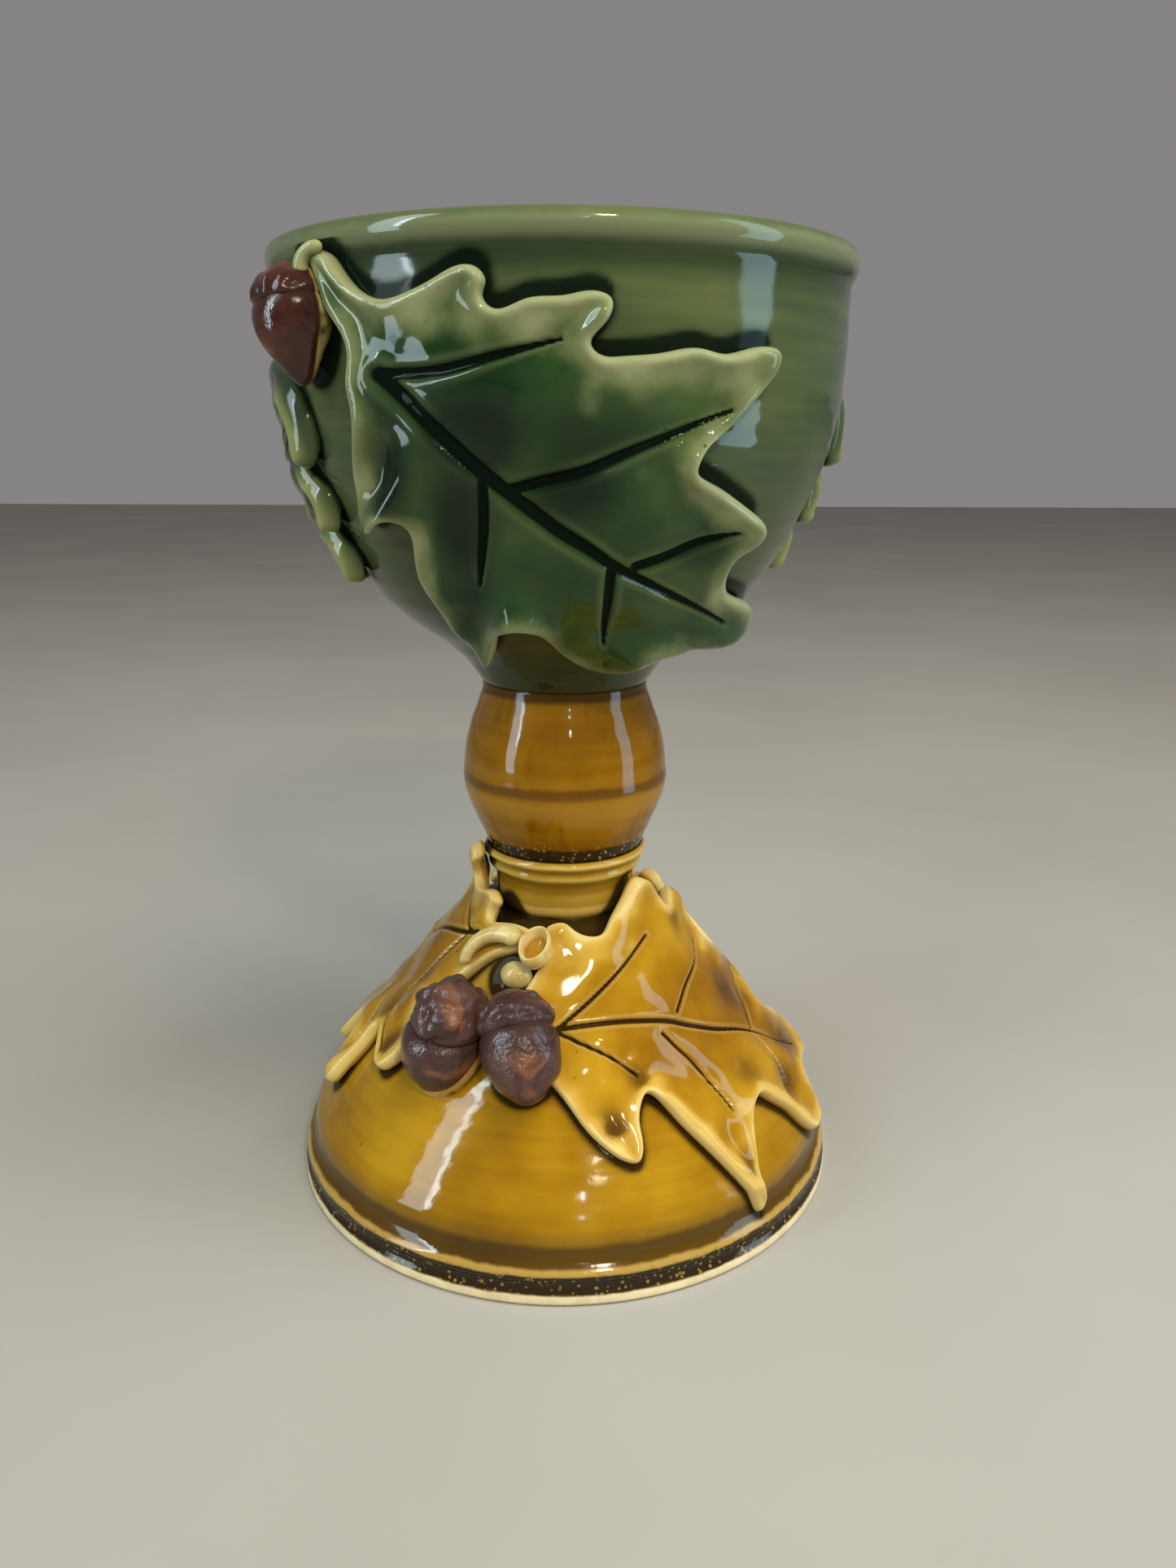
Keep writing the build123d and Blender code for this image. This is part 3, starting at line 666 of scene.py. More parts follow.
def tube(name, route, radii):
    """Tapering round stalk along a smooth route, closed with rounded ends."""
    sides = 28
    route = np.array(route, float)
    t_in = np.concatenate([[0], np.cumsum(np.linalg.norm(np.diff(route, axis=0), axis=1))])
    t = np.linspace(0, t_in[-1], max(len(spline(route[:, :2], 0.3)), 24))
    centre = np.column_stack([np.polyval(np.polyfit(t_in, route[:, k], len(route) - 1), t) for k in range(3)])
    radius = np.interp(t, t_in, radii)
    ends = np.minimum(t, t[-1] - t)
    radius *= np.sqrt(1 - (1 - np.clip(ends / radius, 0, 1)) ** 2) * 0.98 + 0.02
    along = np.gradient(centre, axis=0)
    along /= np.linalg.norm(along, axis=1)[:, None]
    side = np.cross(along, (0.1, 0.2, 1.0))
    side /= np.linalg.norm(side, axis=1)[:, None]
    third = np.cross(along, side)
    turn = np.linspace(0, 2 * math.pi, sides, endpoint=False)
    rings = centre[:, None] + radius[:, None, None] * (
        np.cos(turn)[None, :, None] * side[:, None] + np.sin(turn)[None, :, None] * third[:, None]
    )
    positions = rings.reshape(-1, 3)
    faces = []
    for low in range(0, (len(t) - 1) * sides, sides):
        high = low + sides
        for i in range(sides):
            j = (i + 1) % sides
            faces.append((low + i, low + j, high + j, high + i))
    faces.append(tuple(reversed(range(sides))))
    faces.append(tuple(range((len(t) - 1) * sides, len(t) * sides)))
    return new_object(name, positions, faces)


# ---- materials ----
# Specular level of clear glaze, and how much of it the dark veins and joints lose.
FULL_SHINE = 0.5
DULL_LOSS = 0.42


def linear(r, g, b):
    """Display colour of 0 to 255 as linear values."""
    values = [c / 255 for c in (r, g, b)]
    return tuple(c / 12.92 if c <= 0.04045 else ((c + 0.055) / 1.055) ** 2.4 for c in values) + (1.0,)


class Material:
    """Short way to build a node tree round one Principled shader. Lengths in it are in metres."""

    def __init__(self, name, roughness=0.08, ior=1.34):
        self.material = bpy.data.materials.new(name)
        self.material.use_nodes = True
        self.nodes = self.material.node_tree.nodes
        self.links = self.material.node_tree.links
        self.shader = self.nodes["Principled BSDF"]
        self.shader.inputs["Roughness"].default_value = roughness
        self.shader.inputs["IOR"].default_value = ior
        self.coordinates = self.nodes.new("ShaderNodeTexCoord").outputs["Object"]
        self.base = None

    def add(self, kind, output, inputs, **settings):
        """An output of a new node, its inputs linked to sockets or set to values."""
        node = self.nodes.new("ShaderNode" + kind)
        for key, value in settings.items():
            setattr(node, key, value)
        for socket, value in inputs.items():
            if hasattr(value, "links"):
                self.links.new(value, node.inputs[socket])
            else:
                node.inputs[socket].default_value = value
        return node.outputs[output]

    def scaled(self, x, y, z):
        return self.add("Mapping", "Vector", {"Vector": self.coordinates, "Scale": (x, y, z)})

    def noise(self, scale, detail=3.0, vector=None, distortion=0.0):
        """Noise of 0 to 1; scale is in features per metre."""
        inputs = {"Vector": vector or self.coordinates, "Scale": scale, "Detail": detail}
        return self.add("TexNoise", "Fac", {**inputs, "Distortion": distortion})

    def cells(self, scale):
        return self.add("TexVoronoi", "Distance", {"Vector": self.coordinates, "Scale": scale})

    def attribute(self, name):
        return self.add("Attribute", "Fac", {}, attribute_name=name)

    def height(self):
        return self.add("SeparateXYZ", "Z", {0: self.coordinates})

    def math(self, operation, a, b, clamp=False):
        return self.add("Math", 0, {0: a, 1: b}, operation=operation, use_clamp=clamp)

    def times(self, a, b):
        return self.math("MULTIPLY", a, b)

    def plus(self, a, b):
        return self.math("ADD", a, b)

    def between(self, value, low, high, to_low=0.0, to_high=1.0):
        """Value carried from low..high to to_low..to_high, smoothly and clamped."""
        inputs = {"Value": value, "From Min": low, "From Max": high, "To Min": to_low, "To Max": to_high}
        return self.add("MapRange", "Result", inputs, interpolation_type="SMOOTHSTEP")

    def ramp(self, value, stops):
        """Colour ramp with stops of (place, display colour)."""
        node = self.nodes.new("ShaderNodeValToRGB")
        self.links.new(value, node.inputs["Fac"])
        elements = node.color_ramp.elements
        while len(elements) < len(stops):
            elements.new(0.5)
        for element, (place, colour) in zip(elements, stops):
            element.position = place
            element.color = linear(*colour)
        return node.outputs["Color"]

    def mix(self, amount, a, b):
        return self.add("Mix", 2, {0: amount, 6: a, 7: b}, data_type="RGBA")

    def coat(self, amount, where, colour):
        """Lays a display colour over the base, as strong as amount where the value is 1."""
        self.base = self.mix(self.times(where, amount), self.base, linear(*colour))

    def bump(self, height, strength, distance):
        normal = self.add("Bump", "Normal", {"Strength": strength, "Distance": distance, "Height": height})
        self.links.new(normal, self.shader.inputs["Normal"])

    def roughness(self, value):
        self.links.new(value, self.shader.inputs["Roughness"])

    def dull(self, value):
        """Takes the shine off where value is 1."""
        shine = self.math("SUBTRACT", FULL_SHINE, self.times(value, DULL_LOSS))
        self.links.new(shine, self.shader.inputs["Specular IOR Level"])

    def finished(self):
        self.links.new(self.base, self.shader.inputs["Base Color"])
        return self.material

    def band(self, centre, half, soft):
        """1 within half of a height, fading over soft, with a slightly uneven edge."""
        z = self.plus(self.height(), self.times(self.math("SUBTRACT", self.noise(160), 0.5), 0.0012))
        rise = self.between(z, centre - half - soft, centre - half)
        fall = self.between(z, centre + half + soft, centre + half)
        return self.times(rise, fall)

    def bands(self, rows):
        """Coats in bands, each (amount, centre, half, soft, colour)."""
        for amount, centre, half, soft, colour in rows:
            self.coat(amount, self.band(centre, half, soft), colour)

    def speckled_band(self, centre, half, soft, dark, light):
        self.coat(0.97, self.band(centre, half, soft), dark)
        here = self.between(self.noise(260, 2.0), 0.38, 0.5)
        dots = self.times(self.between(self.cells(820), 0.36, 0.22), here)
        self.coat(0.9, self.times(dots, self.band(centre, half + soft, soft)), light)

    def specks(self, scale, amount, colour):
        """Small iron specks scattered in the glaze."""
        dot = self.between(self.cells(scale), 0.11, 0.05)
        self.coat(amount, self.times(dot, self.between(self.noise(70, 2.0), 0.52, 0.62)), colour)

    def streaked(self, across, up, clouds, share, stops):
        """Base colour that varies along the throwing lines by share, and in soft clouds for the rest."""
        streaks = self.noise(1.0, 4.0, self.scaled(across, across, up))
        tone = self.plus(self.times(streaks, share), self.times(self.noise(clouds, 4.0), 1 - share))
        self.base = self.ramp(tone, stops)

    def skin(self, wave=0.0001, fine=0.12, bare=None):
        """The faint waviness and pinholes that a poured glaze has, and the roughness of bare clay."""
        self.bump(self.plus(self.noise(180, 2.0), self.times(self.noise(900, 2.0), fine)), 0.35, wave)
        roughness = self.between(self.noise(60), 0.35, 0.7, 0.05, 0.11)
        self.roughness(roughness if bare is None else self.plus(self.times(bare, 0.65), roughness))


def bowl_glaze():
    m = Material("green_glaze_wall")
    m.streaked(30, 420, 24, 0.3, [(0.32, (50, 65, 44)), (0.5, (72, 84, 50)), (0.68, (96, 102, 60))])
    # Painted shade darkening the wall downwards, amber at the waist, then pale on the lip and dark under it.
    m.coat(0.75, m.between(m.height(), 0.168, 0.126), (40, 52, 32))
    m.coat(0.8, m.between(m.height(), 0.1185, 0.1142), (58, 50, 18))
    m.coat(0.5, m.between(m.height(), 0.1955, 0.1990), (96, 106, 66))
    m.coat(0.7, m.band(0.1968, 0.0010, 0.0016), (124, 130, 96))
    under_lip = m.times(m.between(m.height(), 0.1885, 0.1930), m.between(m.height(), 0.1965, 0.1945))
    m.coat(0.65, under_lip, (30, 46, 26))
    # Deep glaze and painted shade, near black, on the wall right beside the leaves and acorns, with the shine
    # taken off.
    m.coat(0.95, m.between(m.attribute("crevice"), 0.18, 0.8), (9, 20, 12))
    m.dull(m.between(m.attribute("crevice"), 0.2, 0.8))
    m.skin()
    return m.finished()


def leaf_glaze(name, edge_stops, cloud_colours, pool_colour, vein_colour, shoulder_colour, shoulder):
    """Glaze that breaks pale on the raised edges and lies dark in the hollows and veins."""
    m = Material(name)
    depth = m.times(m.attribute("inset"), m.between(m.noise(150), 0.3, 0.7, 0.75, 1.3))
    edge = m.ramp(m.math("DIVIDE", depth, 12.0, clamp=True), edge_stops)
    clouds = m.ramp(m.noise(38, 4.0), list(zip((0.34, 0.5, 0.66), cloud_colours)))
    m.base = m.mix(m.between(depth, 1.2, 7.0), edge, clouds)
    m.coat(shoulder, m.attribute("shoulder"), shoulder_colour)
    pool = m.between(m.times(m.attribute("pool"), m.between(depth, 0.6, 3.0)), 0.08, 0.9)
    m.coat(0.92, pool, pool_colour)
    cut = m.between(m.attribute("vein"), 0.30, 0.72)
    m.coat(0.96, cut, vein_colour)
    m.specks(240, 0.7, (40, 26, 12))
    m.dull(cut)
    m.skin()
    return m.finished()


def amber_streaks(m, low, middle, high):
    m.streaked(24, 520, 40, 0.22, [(0.34, low), (0.5, middle), (0.66, high)])


def knop_glaze():
    m = Material("amber_glaze_knop")
    amber_streaks(m, (112, 70, 2), (142, 94, 2), (166, 116, 10))
    m.coat(0.3, m.between(m.noise(1.0, 3.0, m.scaled(320, 320, 20)), 0.56, 0.68), (96, 52, 4))
    # Round the widest part, then where the bowl is luted on.
    m.bands([
        (0.65, 0.0935, 0.0005, 0.0012, (78, 42, 4)),
        (0.45, 0.0895, 0.0010, 0.0022, (176, 130, 34)),
        (0.8, 0.1136, 0.0008, 0.0012, (60, 40, 12)),
    ])
    m.coat(0.4, m.between(m.height(), 0.0845, 0.0800), (92, 54, 6))
    m.speckled_band(0.0782, 0.0013, 0.0009, (36, 24, 10), (168, 128, 52))
    m.specks(260, 0.6, (50, 30, 12))
    m.skin(0.00014)
    return m.finished()


def foot_glaze():
    m = Material("amber_glaze_foot")
    amber_streaks(m, (130, 90, 4), (156, 112, 8), (178, 134, 22))
    m.coat(0.55, m.between(m.height(), 0.036, 0.048), (188, 150, 56))
    m.coat(0.6, m.between(m.height(), 0.019, 0.009), (92, 60, 8))
    # The rolled edge at the bottom.
    m.bands([(0.7, 0.0096, 0.0013, 0.0016, (54, 38, 12)), (0.75, 0.0070, 0.0004, 0.0006, (190, 154, 78))])
    m.speckled_band(0.0045, 0.0017, 0.0006, (38, 30, 16), (150, 118, 56))
    # The neck's two rings, the hollow between them and its stem; then the joints above and below it.
    m.bands([
        (0.75, 0.0758, 0.0002, 0.0005, (214, 180, 96)),
        (0.55, 0.0726, 0.0002, 0.0006, (206, 168, 78)),
        (0.5, 0.0742, 0.0002, 0.0006, (120, 82, 16)),
        (0.6, 0.0700, 0.0008, 0.0014, (132, 86, 4)),
    ])
    m.coat(0.96, m.between(m.height(), 0.0766, 0.0769), (36, 24, 10))
    m.bands([(0.75, 0.0644, 0.0005, 0.0011, (222, 184, 96))])
    gap = m.band(0.0615, 0.0009, 0.0006)
    m.coat(0.95, gap, (38, 26, 10))
    # Deep glaze and painted shade beside the leaves, acorns, twig and bud, with the shine taken off there and
    # in the gap.
    pool_and_painted_shade = m.between(m.attribute("crevice"), 0.18, 0.75)
    m.coat(0.95, pool_and_painted_shade, (38, 26, 10))
    m.dull(m.math("MAXIMUM", pool_and_painted_shade, gap))
    m.specks(240, 0.7, (60, 36, 10))
    # Unglazed clay that the goblet stands on.
    bare = m.between(m.plus(m.height(), m.times(m.noise(260), 0.0006)), 0.0030, 0.0024)
    m.base = m.mix(bare, m.base, m.ramp(m.noise(300, 4.0), [(0.3, (222, 200, 154)), (0.7, (242, 224, 182))]))
    m.skin(0.00014, 0.25, bare)
    return m.finished()


def acorn_glaze(name, stops, thin_glaze_and_sheen_colour, thin_glaze_and_sheen, roughness, bump_scale, bump, seat_colour, seat_from):
    """Mottled brown glaze, paler where the acorn sits on the wall and in patches: thinner glaze on the red
    acorns, painted copper highlights on the purple ones.
    """
    m = Material(name, roughness, 1.45)
    m.base = m.ramp(m.noise(95, 5.0, distortion=0.4), stops)
    # Paler patches: thinner orange glaze on the red acorns, painted copper highlights on the purple-brown
    # ones.
    m.coat(thin_glaze_and_sheen, m.between(m.noise(80, 4.0, distortion=0.6), 0.55, 0.68), thin_glaze_and_sheen_colour)
    rest = m.between(m.attribute("seat"), seat_from, seat_from + 0.3)
    m.coat(0.9, m.times(rest, m.between(m.noise(160), 0.32, 0.46)), seat_colour)
    m.roughness(m.between(m.noise(240), 0.3, 0.7, roughness * 0.6, roughness * 1.6))
    m.bump(m.plus(m.noise(bump_scale, 4.0), m.times(m.noise(bump_scale * 4), 0.3)), 0.6, bump)
    return m.finished()


def cream_glaze(name, low, high, hollow):
    m = Material(name, 0.1)
    m.base = m.ramp(m.noise(220, 4.0), [(0.32, low), (0.62, high)])
    m.coat(0.9, m.attribute("hollow"), hollow)
    m.skin()
    return m.finished()


# ---- camera ----
# From the perspective fit of the photo: metres, millimetres and degrees.
CAMERA_PLACE = (0.00521, -0.25762, 0.16443)
CAMERA_LENS = 27.03
CAMERA_DOWN = 16.18
CAMERA_ROLL = 0.205


def add_camera():
    camera = bpy.data.cameras.new("camera")
    camera.sensor_width = 36
    camera.lens = CAMERA_LENS
    camera.clip_start = 0.01
    obj = bpy.data.objects.new("camera", camera)
    bpy.context.scene.collection.objects.link(obj)
    tip = Matrix.Rotation(math.radians(90 - CAMERA_DOWN), 4, "X")
    roll = Matrix.Rotation(math.radians(CAMERA_ROLL), 4, "Z")
    obj.matrix_world = Matrix.Translation(CAMERA_PLACE) @ tip @ roll
    bpy.context.scene.camera = obj


# ---- light and floor ----
def add_light(name, turn, elevation, distance, size, power, colour, aim=(0, 0, 0.1), mirrored=True, lit=True):
    """Area light aimed at a place. It shows in the glaze if mirrored, and lights the clay if lit."""
    light = bpy.data.lights.new(name, "AREA")
    light.shape = "RECTANGLE"
    light.size, light.size_y = size
    light.energy = power
    light.color = colour
    obj = bpy.data.objects.new(name, light)
    bpy.context.scene.collection.objects.link(obj)
    a, e = math.radians(turn), math.radians(elevation)
    away = Vector((math.sin(a) * math.cos(e), -math.cos(a) * math.cos(e), math.sin(e)))
    target = Vector(aim)
    obj.location = target + away * distance
    obj.rotation_euler = (-away).to_track_quat("-Z", "Y").to_euler()
    obj.visible_camera = False
    obj.visible_glossy = mirrored
    obj.visible_diffuse = lit


def add_stage():
    """Wide pale floor just below the goblet's foot."""
    half_size, just_below, count = 3000, -0.05, 48
    xs = np.linspace(-half_size, half_size, count)
    positions = [(x, y, just_below) for y in xs for x in xs]
    corners = [j * count + i for j in range(count - 1) for i in range(count - 1)]
    faces = [(k, k + 1, k + count + 1, k + count) for k in corners]
    floor = new_object("floor", np.array(positions), faces)
    m = Material("pale_floor", 0.9)
    m.shader.inputs["Specular IOR Level"].default_value = 0.1
    m.base = m.ramp(m.noise(6, 4.0), [(0.3, (166, 161, 152)), (0.7, (174, 169, 160))])
    floor.data.materials.append(m.finished())


def add_world():
    world = bpy.data.worlds.new("studio")
    world.use_nodes = True
    world.node_tree.nodes["Background"].inputs["Color"].default_value = (0.80, 0.76, 0.78, 1)
    world.node_tree.nodes["Background"].inputs["Strength"].default_value = 0.30
    bpy.context.scene.world = world
    bpy.context.scene.view_settings.view_transform = "Standard"


def keep(piece, material, node):
    """Gives a piece its material, hangs it under the root body and hides the CAD node that it stands for."""
    piece.data.materials.append(material)
    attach(piece, "root")
    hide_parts(node)


add_camera()
add_stage()
add_world()
add_light("window_right", 74, 0, 0.45, (0.12, 0.60), 1.3, (0.56, 0.84, 1.0), (0, 0, 0.305))
add_light("window_left", -62, 24, 0.75, (0.16, 0.85), 4.2, (0.74, 0.90, 1.0), lit=False)
add_light("window_gap", -57, 26, 0.75, (0.03, 0.40), 0.8, (0.80, 0.94, 1.0))
add_light("lamp_front", 17, 38, 0.9, (0.08, 0.10), 2.6, (1.0, 0.84, 0.60))
add_light("lamp_small", 8, 28, 0.9, (0.02, 0.02), 0.16, (0.92, 0.96, 1.0))
add_light("soft_above", 50, 62, 1.3, (0.8, 0.8), 13.0, (1.0, 0.95, 0.88), mirrored=False)
add_light("soft_left", -52, 36, 1.5, (0.9, 0.9), 8.0, (0.62, 0.92, 1.0), mirrored=False)

# ---- walls, and the planes that face what is laid on them ----
FOOT_TILT, FOOT_MIDDLE, BOWL_ACORN_TURN = 37, 45, -48
bowl_wall = Wall(BOWL_WALL + [(57.3, 196.0)])
foot_wall = Wall(FOOT_CONE)
foot_leaf_wall = Wall(FOOT_LEAF_WALL)
ahead = Facing(0)
left_side = Facing(-74)
foot_right_side = Facing(38, FOOT_TILT, FOOT_MIDDLE)
foot_left_side = Facing(-70, FOOT_TILT, FOOT_MIDDLE)
between = Facing(-24, FOOT_TILT, FOOT_MIDDLE)
beside = Facing(BOWL_ACORN_TURN)

# ---- materials in use ----
GREEN_EDGE = [
    (0.0, (142, 146, 104)), (0.05, (150, 152, 110)), (0.12, (120, 127, 84)), (0.26, (94, 106, 64)),
    (0.50, (60, 79, 42)), (1.0, (42, 64, 32)),
]
SIDE_EDGE = [(0.0, (66, 80, 50)), (0.08, (58, 72, 46)), (0.2, (40, 58, 36)), (1.0, (34, 52, 34))]
AMBER_EDGE = [
    (0.0, (222, 192, 118)), (0.05, (222, 190, 114)), (0.10, (204, 162, 70)), (0.24, (184, 138, 34)),
    (0.55, (162, 116, 12)), (1.0, (150, 102, 6)),
]
green_leaf = leaf_glaze(
    "green_glaze_leaf", GREEN_EDGE, [(24, 50, 22), (40, 66, 30), (64, 84, 40)],
    (4, 24, 10), (8, 20, 13), (104, 120, 72), 0.6,
)
amber_leaf = leaf_glaze(
    "amber_glaze_leaf", AMBER_EDGE, [(128, 82, 4), (156, 108, 8), (184, 138, 24)],
    (78, 46, 6), (40, 26, 10), (210, 172, 88), 0.7,
)
side_leaf = leaf_glaze(
    "green_glaze_side_leaf", SIDE_EDGE, [(26, 44, 28), (36, 54, 32), (46, 64, 36)],
    (8, 24, 16), (8, 20, 14), (160, 162, 100), 0.85,
)
red_acorn = acorn_glaze(
    "red_brown_glaze", [(0.3, (36, 17, 14)), (0.5, (60, 27, 19)), (0.7, (92, 44, 22))],
    (150, 86, 40), 0.65, 0.16, 160, 0.0004, (176, 166, 104), 0.06,
)
# Purple-brown acorns: their paler patches are painted copper highlights.
dark_acorn = acorn_glaze(
    "purple_brown_glaze", [(0.3, (50, 32, 32)), (0.5, (70, 45, 42)), (0.7, (92, 62, 52))],
    (164, 104, 66), 0.6, 0.22, 300, 0.0007, (206, 168, 96), 0.3,
)
pale_stalk = cream_glaze("cream_green_glaze", (126, 132, 84), (166, 168, 116), (60, 70, 30))
pale_twig = cream_glaze("cream_amber_glaze", (184, 148, 70), (226, 204, 138), (172, 118, 16))


# ---- thrown pieces ----
def outline_mark(facing, outline, turn=0.0):
    """Where a leaf lies, for crevice: its plane, its outline and its turn."""
    return facing, spline(outline, 1.0, closed=True), turn


bowl_marks = [
    mark for turn in (0.0, SECOND_SIDE) for mark in (
        outline_mark(ahead, FRONT_LEAF, turn), outline_mark(left_side, HANGING_LEAF, turn),
        (beside, oval(0.6, 184.5, 6.6, 10.5), turn),
    )
]
foot_marks = [
    outline_mark(foot_right_side, FOOT_LEAF_RIGHT), outline_mark(foot_left_side, FOOT_LEAF_LEFT),
    outline_mark(foot_right_side, FOOT_LEAF_RIGHT, BACK_FOOT_LEAF_TURN),
    (between, oval(-8.6, -26.0, 7.4, 8.8), 0.0), (between, oval(8.8, -25.6, 7.6, 9.0), 0.0),
    (between, oval(2.0, -10.0, 6.4, 4.8), 0.0),
]

bowl_section = np.vstack([
    [(0, WAIST_HEIGHT), (WAIST_RADIUS - 4, WAIST_HEIGHT)],
    spline(BOWL_WALL, 0.75), spline(BOWL_LIP, 0.5)[1:], spline(BOWL_INSIDE, 2.2)[1:],
])
bowl_section[-1, 0] = 0
bowl = thrown("bowl_thrown", bowl_section, 420, False, bowl_wall, bowl_marks, (0, 2.2), 0.06, 11, 112)
keep(bowl, bowl_glaze(), "bowl")

knop_section = np.vstack([spline(KNOP_WALL, 0.4), spline(KNOP_INSIDE, 2.0)])
knop = thrown("knop_thrown", knop_section, 220, True, bowl_wall, [], (0, 0), 0.025, 21, 70)
keep(knop, knop_glaze(), "knop")

foot_section = np.vstack([
    spline(FOOT_BAND, 0.35), spline(FOOT_CONE, 0.8)[1:], spline(FOOT_NECK, 0.35)[1:],
    spline(FOOT_INSIDE, 2.4),
])
foot = thrown("foot_thrown", foot_section, 400, True, foot_wall, foot_marks, (0, -1.0), 0.035, 31, 9)
keep(foot, foot_glaze(), "foot")

# ---- leaves ----
# Leaf looks: thickness, half width of the main vein, radius of the edge, height of the ridge along the edge,
# how much less pale the low edges are, and the width and height of the ribs.
FRONT_LOOK = (2.8, 1.3, 0.8, 0.35, 1.2, 1.0, 0.0)
BACK_RUFFLES = [(across, up, wide, high, 0.5 * lift) for across, up, wide, high, lift in FRONT_LEAF_RUFFLES]
HANGING_LOOK = (2.2, 0.5, 1.0, 0.0, 0.0, 3.3, 1.9)
FOOT_LOOK = (3.2, 0.56, 0.7, 0.05, 0.0, 1.6, 0.3)
BIG_LEAVES = (("front", 0.0, FRONT_LEAF_RUFFLES, 41), ("back", SECOND_SIDE, BACK_RUFFLES, 42))
for side, turn, ruffles, seed in BIG_LEAVES:
    leaf = leaf_sheet(f"{side}_oak_leaf", ahead, bowl_wall, FRONT_LEAF, FRONT_LEAF_VEINS, ruffles,
                      FRONT_LEAF_DENTS, FRONT_LEAF_POOLS_AND_PAINTED_LIGHT, [], FRONT_LOOK, seed, turn)
    keep(leaf, green_leaf, f"bowl_leaf_{side}")
for side, turn, seed in (("left", 0.0, 43), ("right", SECOND_SIDE, 44)):
    leaf = leaf_sheet(f"{side}_oak_leaf", left_side, bowl_wall, HANGING_LEAF, HANGING_LEAF_VEINS,
                      HANGING_LEAF_RUFFLES, [], [], HANGING_LEAF_RIBS, HANGING_LOOK, seed, turn)
    keep(leaf, side_leaf, f"bowl_leaf_{side}")
for side, turn, seed in (("right", 0.0, 51), ("back", BACK_FOOT_LEAF_TURN, 53)):
    leaf = leaf_sheet(f"foot_oak_leaf_{side}", foot_right_side, foot_leaf_wall, FOOT_LEAF_RIGHT,
                      FOOT_LEAF_RIGHT_VEINS, FOOT_LEAF_RIGHT_RUFFLES, FOOT_LEAF_RIGHT_DENTS,
                      FOOT_LEAF_RIGHT_POOLS_AND_PAINTED_LIGHT, FOOT_LEAF_RIGHT_RIBS, FOOT_LOOK, seed, turn)
    keep(leaf, amber_leaf, f"foot_leaf_{side}")
leaf = leaf_sheet("foot_oak_leaf_left", foot_left_side, foot_leaf_wall, FOOT_LEAF_LEFT, FOOT_LEAF_LEFT_VEINS,
                  FOOT_LEAF_LEFT_RUFFLES, FOOT_LEAF_LEFT_DENTS, FOOT_LEAF_LEFT_POOLS, FOOT_LEAF_LEFT_RIBS,
                  FOOT_LOOK, 52)
keep(leaf, amber_leaf, "foot_leaf_left")

# ---- acorns ----
STALK_PLACES = [(3.6, 191.0, 61.2), (3.7, 193.6, 61.4), (4.9, 195.1, 60.8), (7.0, 195.2, 59.2)]
for side, turn, seed in (("left", 0.0, 61), ("right", SECOND_SIDE, 71)):
    here = Facing(BOWL_ACORN_TURN + turn)
    axis = acorn_axis(here, 9)
    origin = here.point(-0.4, 188.0, 61.4)
    keep(nut(f"{side}_acorn_nut", origin, axis, here, bowl_wall, 6.7, 14.6, seed), red_acorn,
         f"acorn_{side}_nut")
    keep(cap(f"{side}_acorn_cup", origin, axis, here, bowl_wall, 6.4, 5.6, 0.9, seed + 1, 0.5), red_acorn,
         f"acorn_{side}_cap")
    route = [here.point(*place) for place in STALK_PLACES]
    keep(tube(f"{side}_acorn_stem", route, [1.5, 1.25, 1.1, 1.2]), pale_stalk,
         f"acorn_{side}_stalk")

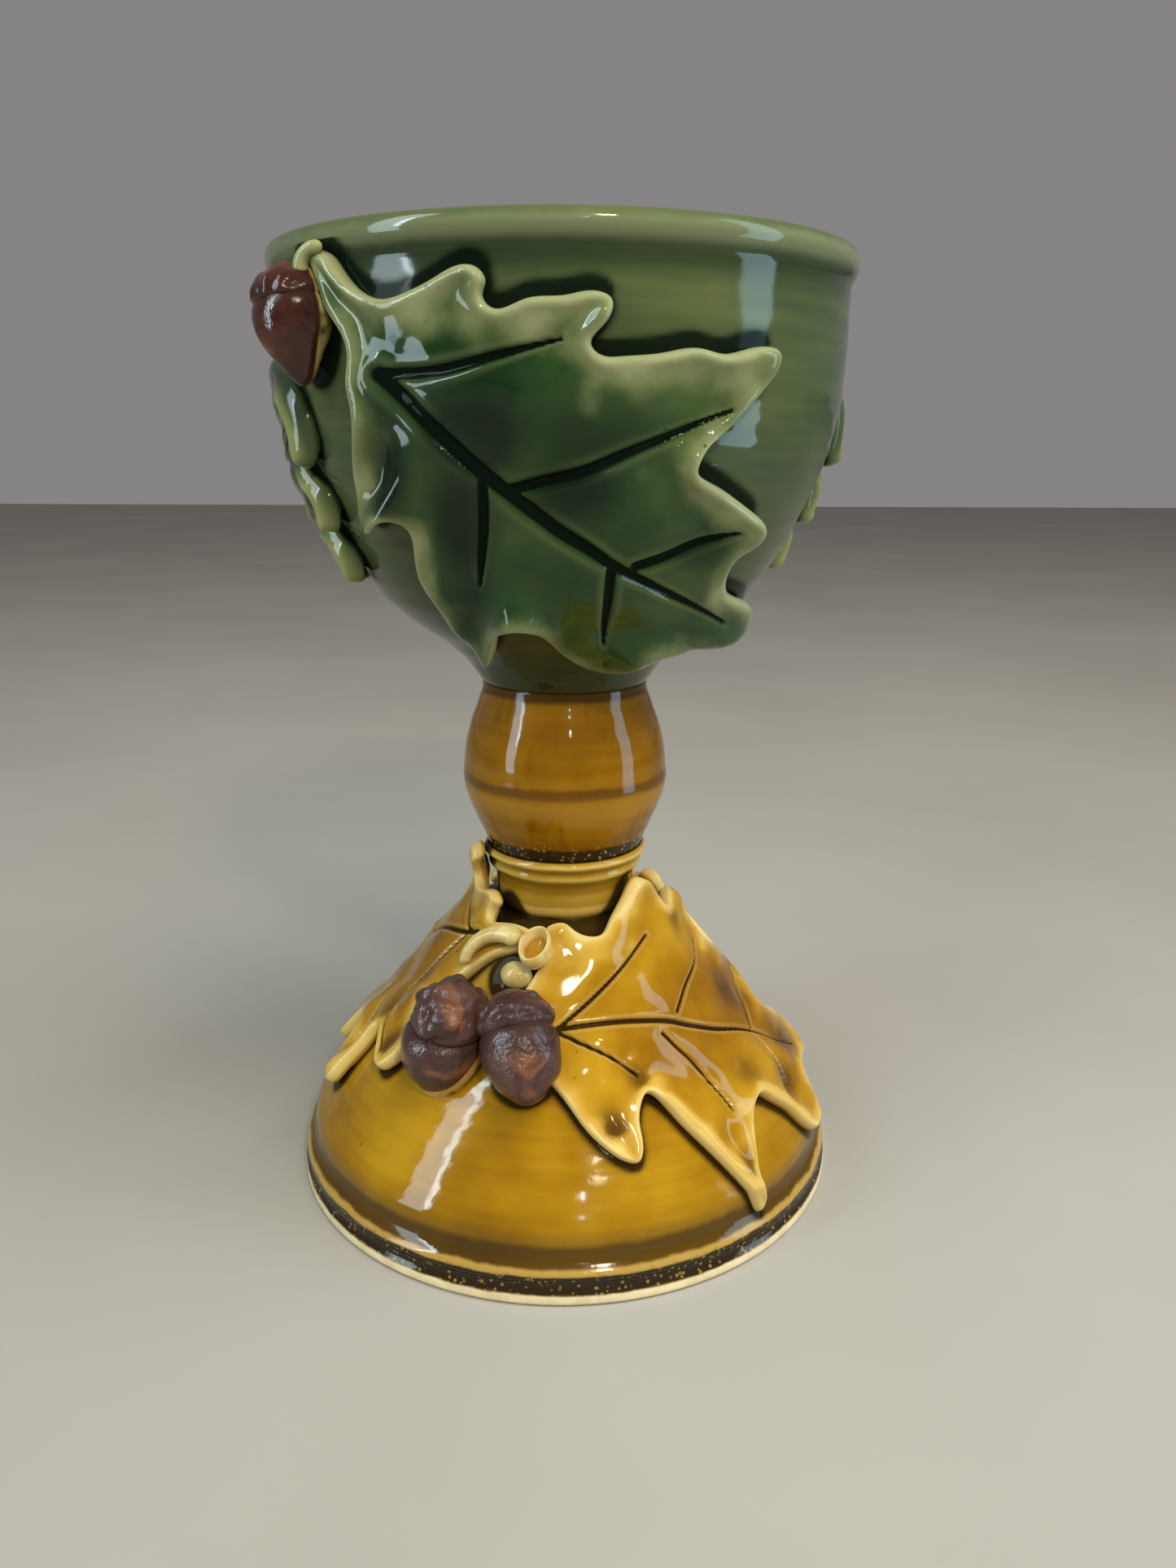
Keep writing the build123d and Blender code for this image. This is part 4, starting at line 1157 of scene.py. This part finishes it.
# Each: side, lean, tip out, seed; the nut's origin, (radius, length) and bluntness; the cap's origin and
# (radius, height).
FOOT_ACORNS = [
    ("left", -10, 40, 81, (-9.2, -24.4, 33.0), (8.8, 15.6), 1.0, (-7.6, -21.8, 34.2), (7.8, 8.4)),
    ("right", 26, 4, 83, (6.8, -21.2, 31.7), (8.3, 15.4), 0.75, (6.0, -19.5, 32.0), (8.0, 6.2)),
]
for side, lean, tip_out, seed, nut_place, nut_size, blunt, cap_place, cap_size in FOOT_ACORNS:
    axis = acorn_axis(between, lean, tip_out)
    origin = between.point(*nut_place)
    keep(nut(f"foot_{side}_nut", origin, axis, between, foot_wall, *nut_size, seed, blunt), dark_acorn,
         f"foot_acorn_{side}_nut")
    origin = between.point(*cap_place)
    keep(cap(f"foot_{side}_cup", origin, axis, between, foot_wall, *cap_size, 2.2, seed + 1, 0.6), dark_acorn,
         f"foot_acorn_{side}_cap")

# ---- twig, empty cup and bud ----
twig_places = [(-10.2, -9.6, 30.6), (-8.6, -5.4, 31.8), (-4.6, -2.4, 32.4), (2.4, -2.8, 32.6)]
twig_route = [between.point(*place) for place in twig_places]
keep(tube("bent_twig", twig_route, [1.2, 1.5, 1.8, 2.4]), pale_twig, "twig")

cup_section = pole_section([
    (0, -3.4), (2.6, -2.8), (4.0, -0.8), (4.3, 1.2), (3.9, 2.1), (3.3, 1.4), (2.3, -0.5), (0, -1.3),
], 0.2)
cup_positions, cup_faces = turned_grid(cup_section, 64)
cup_hollow = smoothstep(0.70, 0.80, np.arange(len(cup_positions)) / len(cup_positions))
cup_positions += cup_positions / 4.0 * (waves(cup_positions, 5.0, 91) * 0.2)[:, None]
cup_origin, cup_axis = between.point(6.2, -3.8, 32.4), acorn_axis(between, 8, 66)
cup_positions = placed(cup_positions * (0.82, 1.14, 1.0), cup_origin, cup_axis, between.out)
empty_cup = new_object("empty_cup", cup_positions, cup_faces, {"hollow": cup_hollow})
keep(empty_cup, pale_twig, "empty_acorn_cup")

bud_section = pole_section([(0, -2.6), (2.0, -1.9), (3.0, 0.0), (2.2, 1.9), (0.9, 2.7), (0, 2.8)], 0.3)
bud_positions, bud_faces = turned_grid(bud_section, 48)
bud_origin = between.point(1.9, -9.4, 28.8)
bud_positions = placed(bud_positions * (1.2, 1.0, 1.1), bud_origin, between.out, between.up)
keep(new_object("small_bud", bud_positions, bud_faces), pale_twig, "bud")
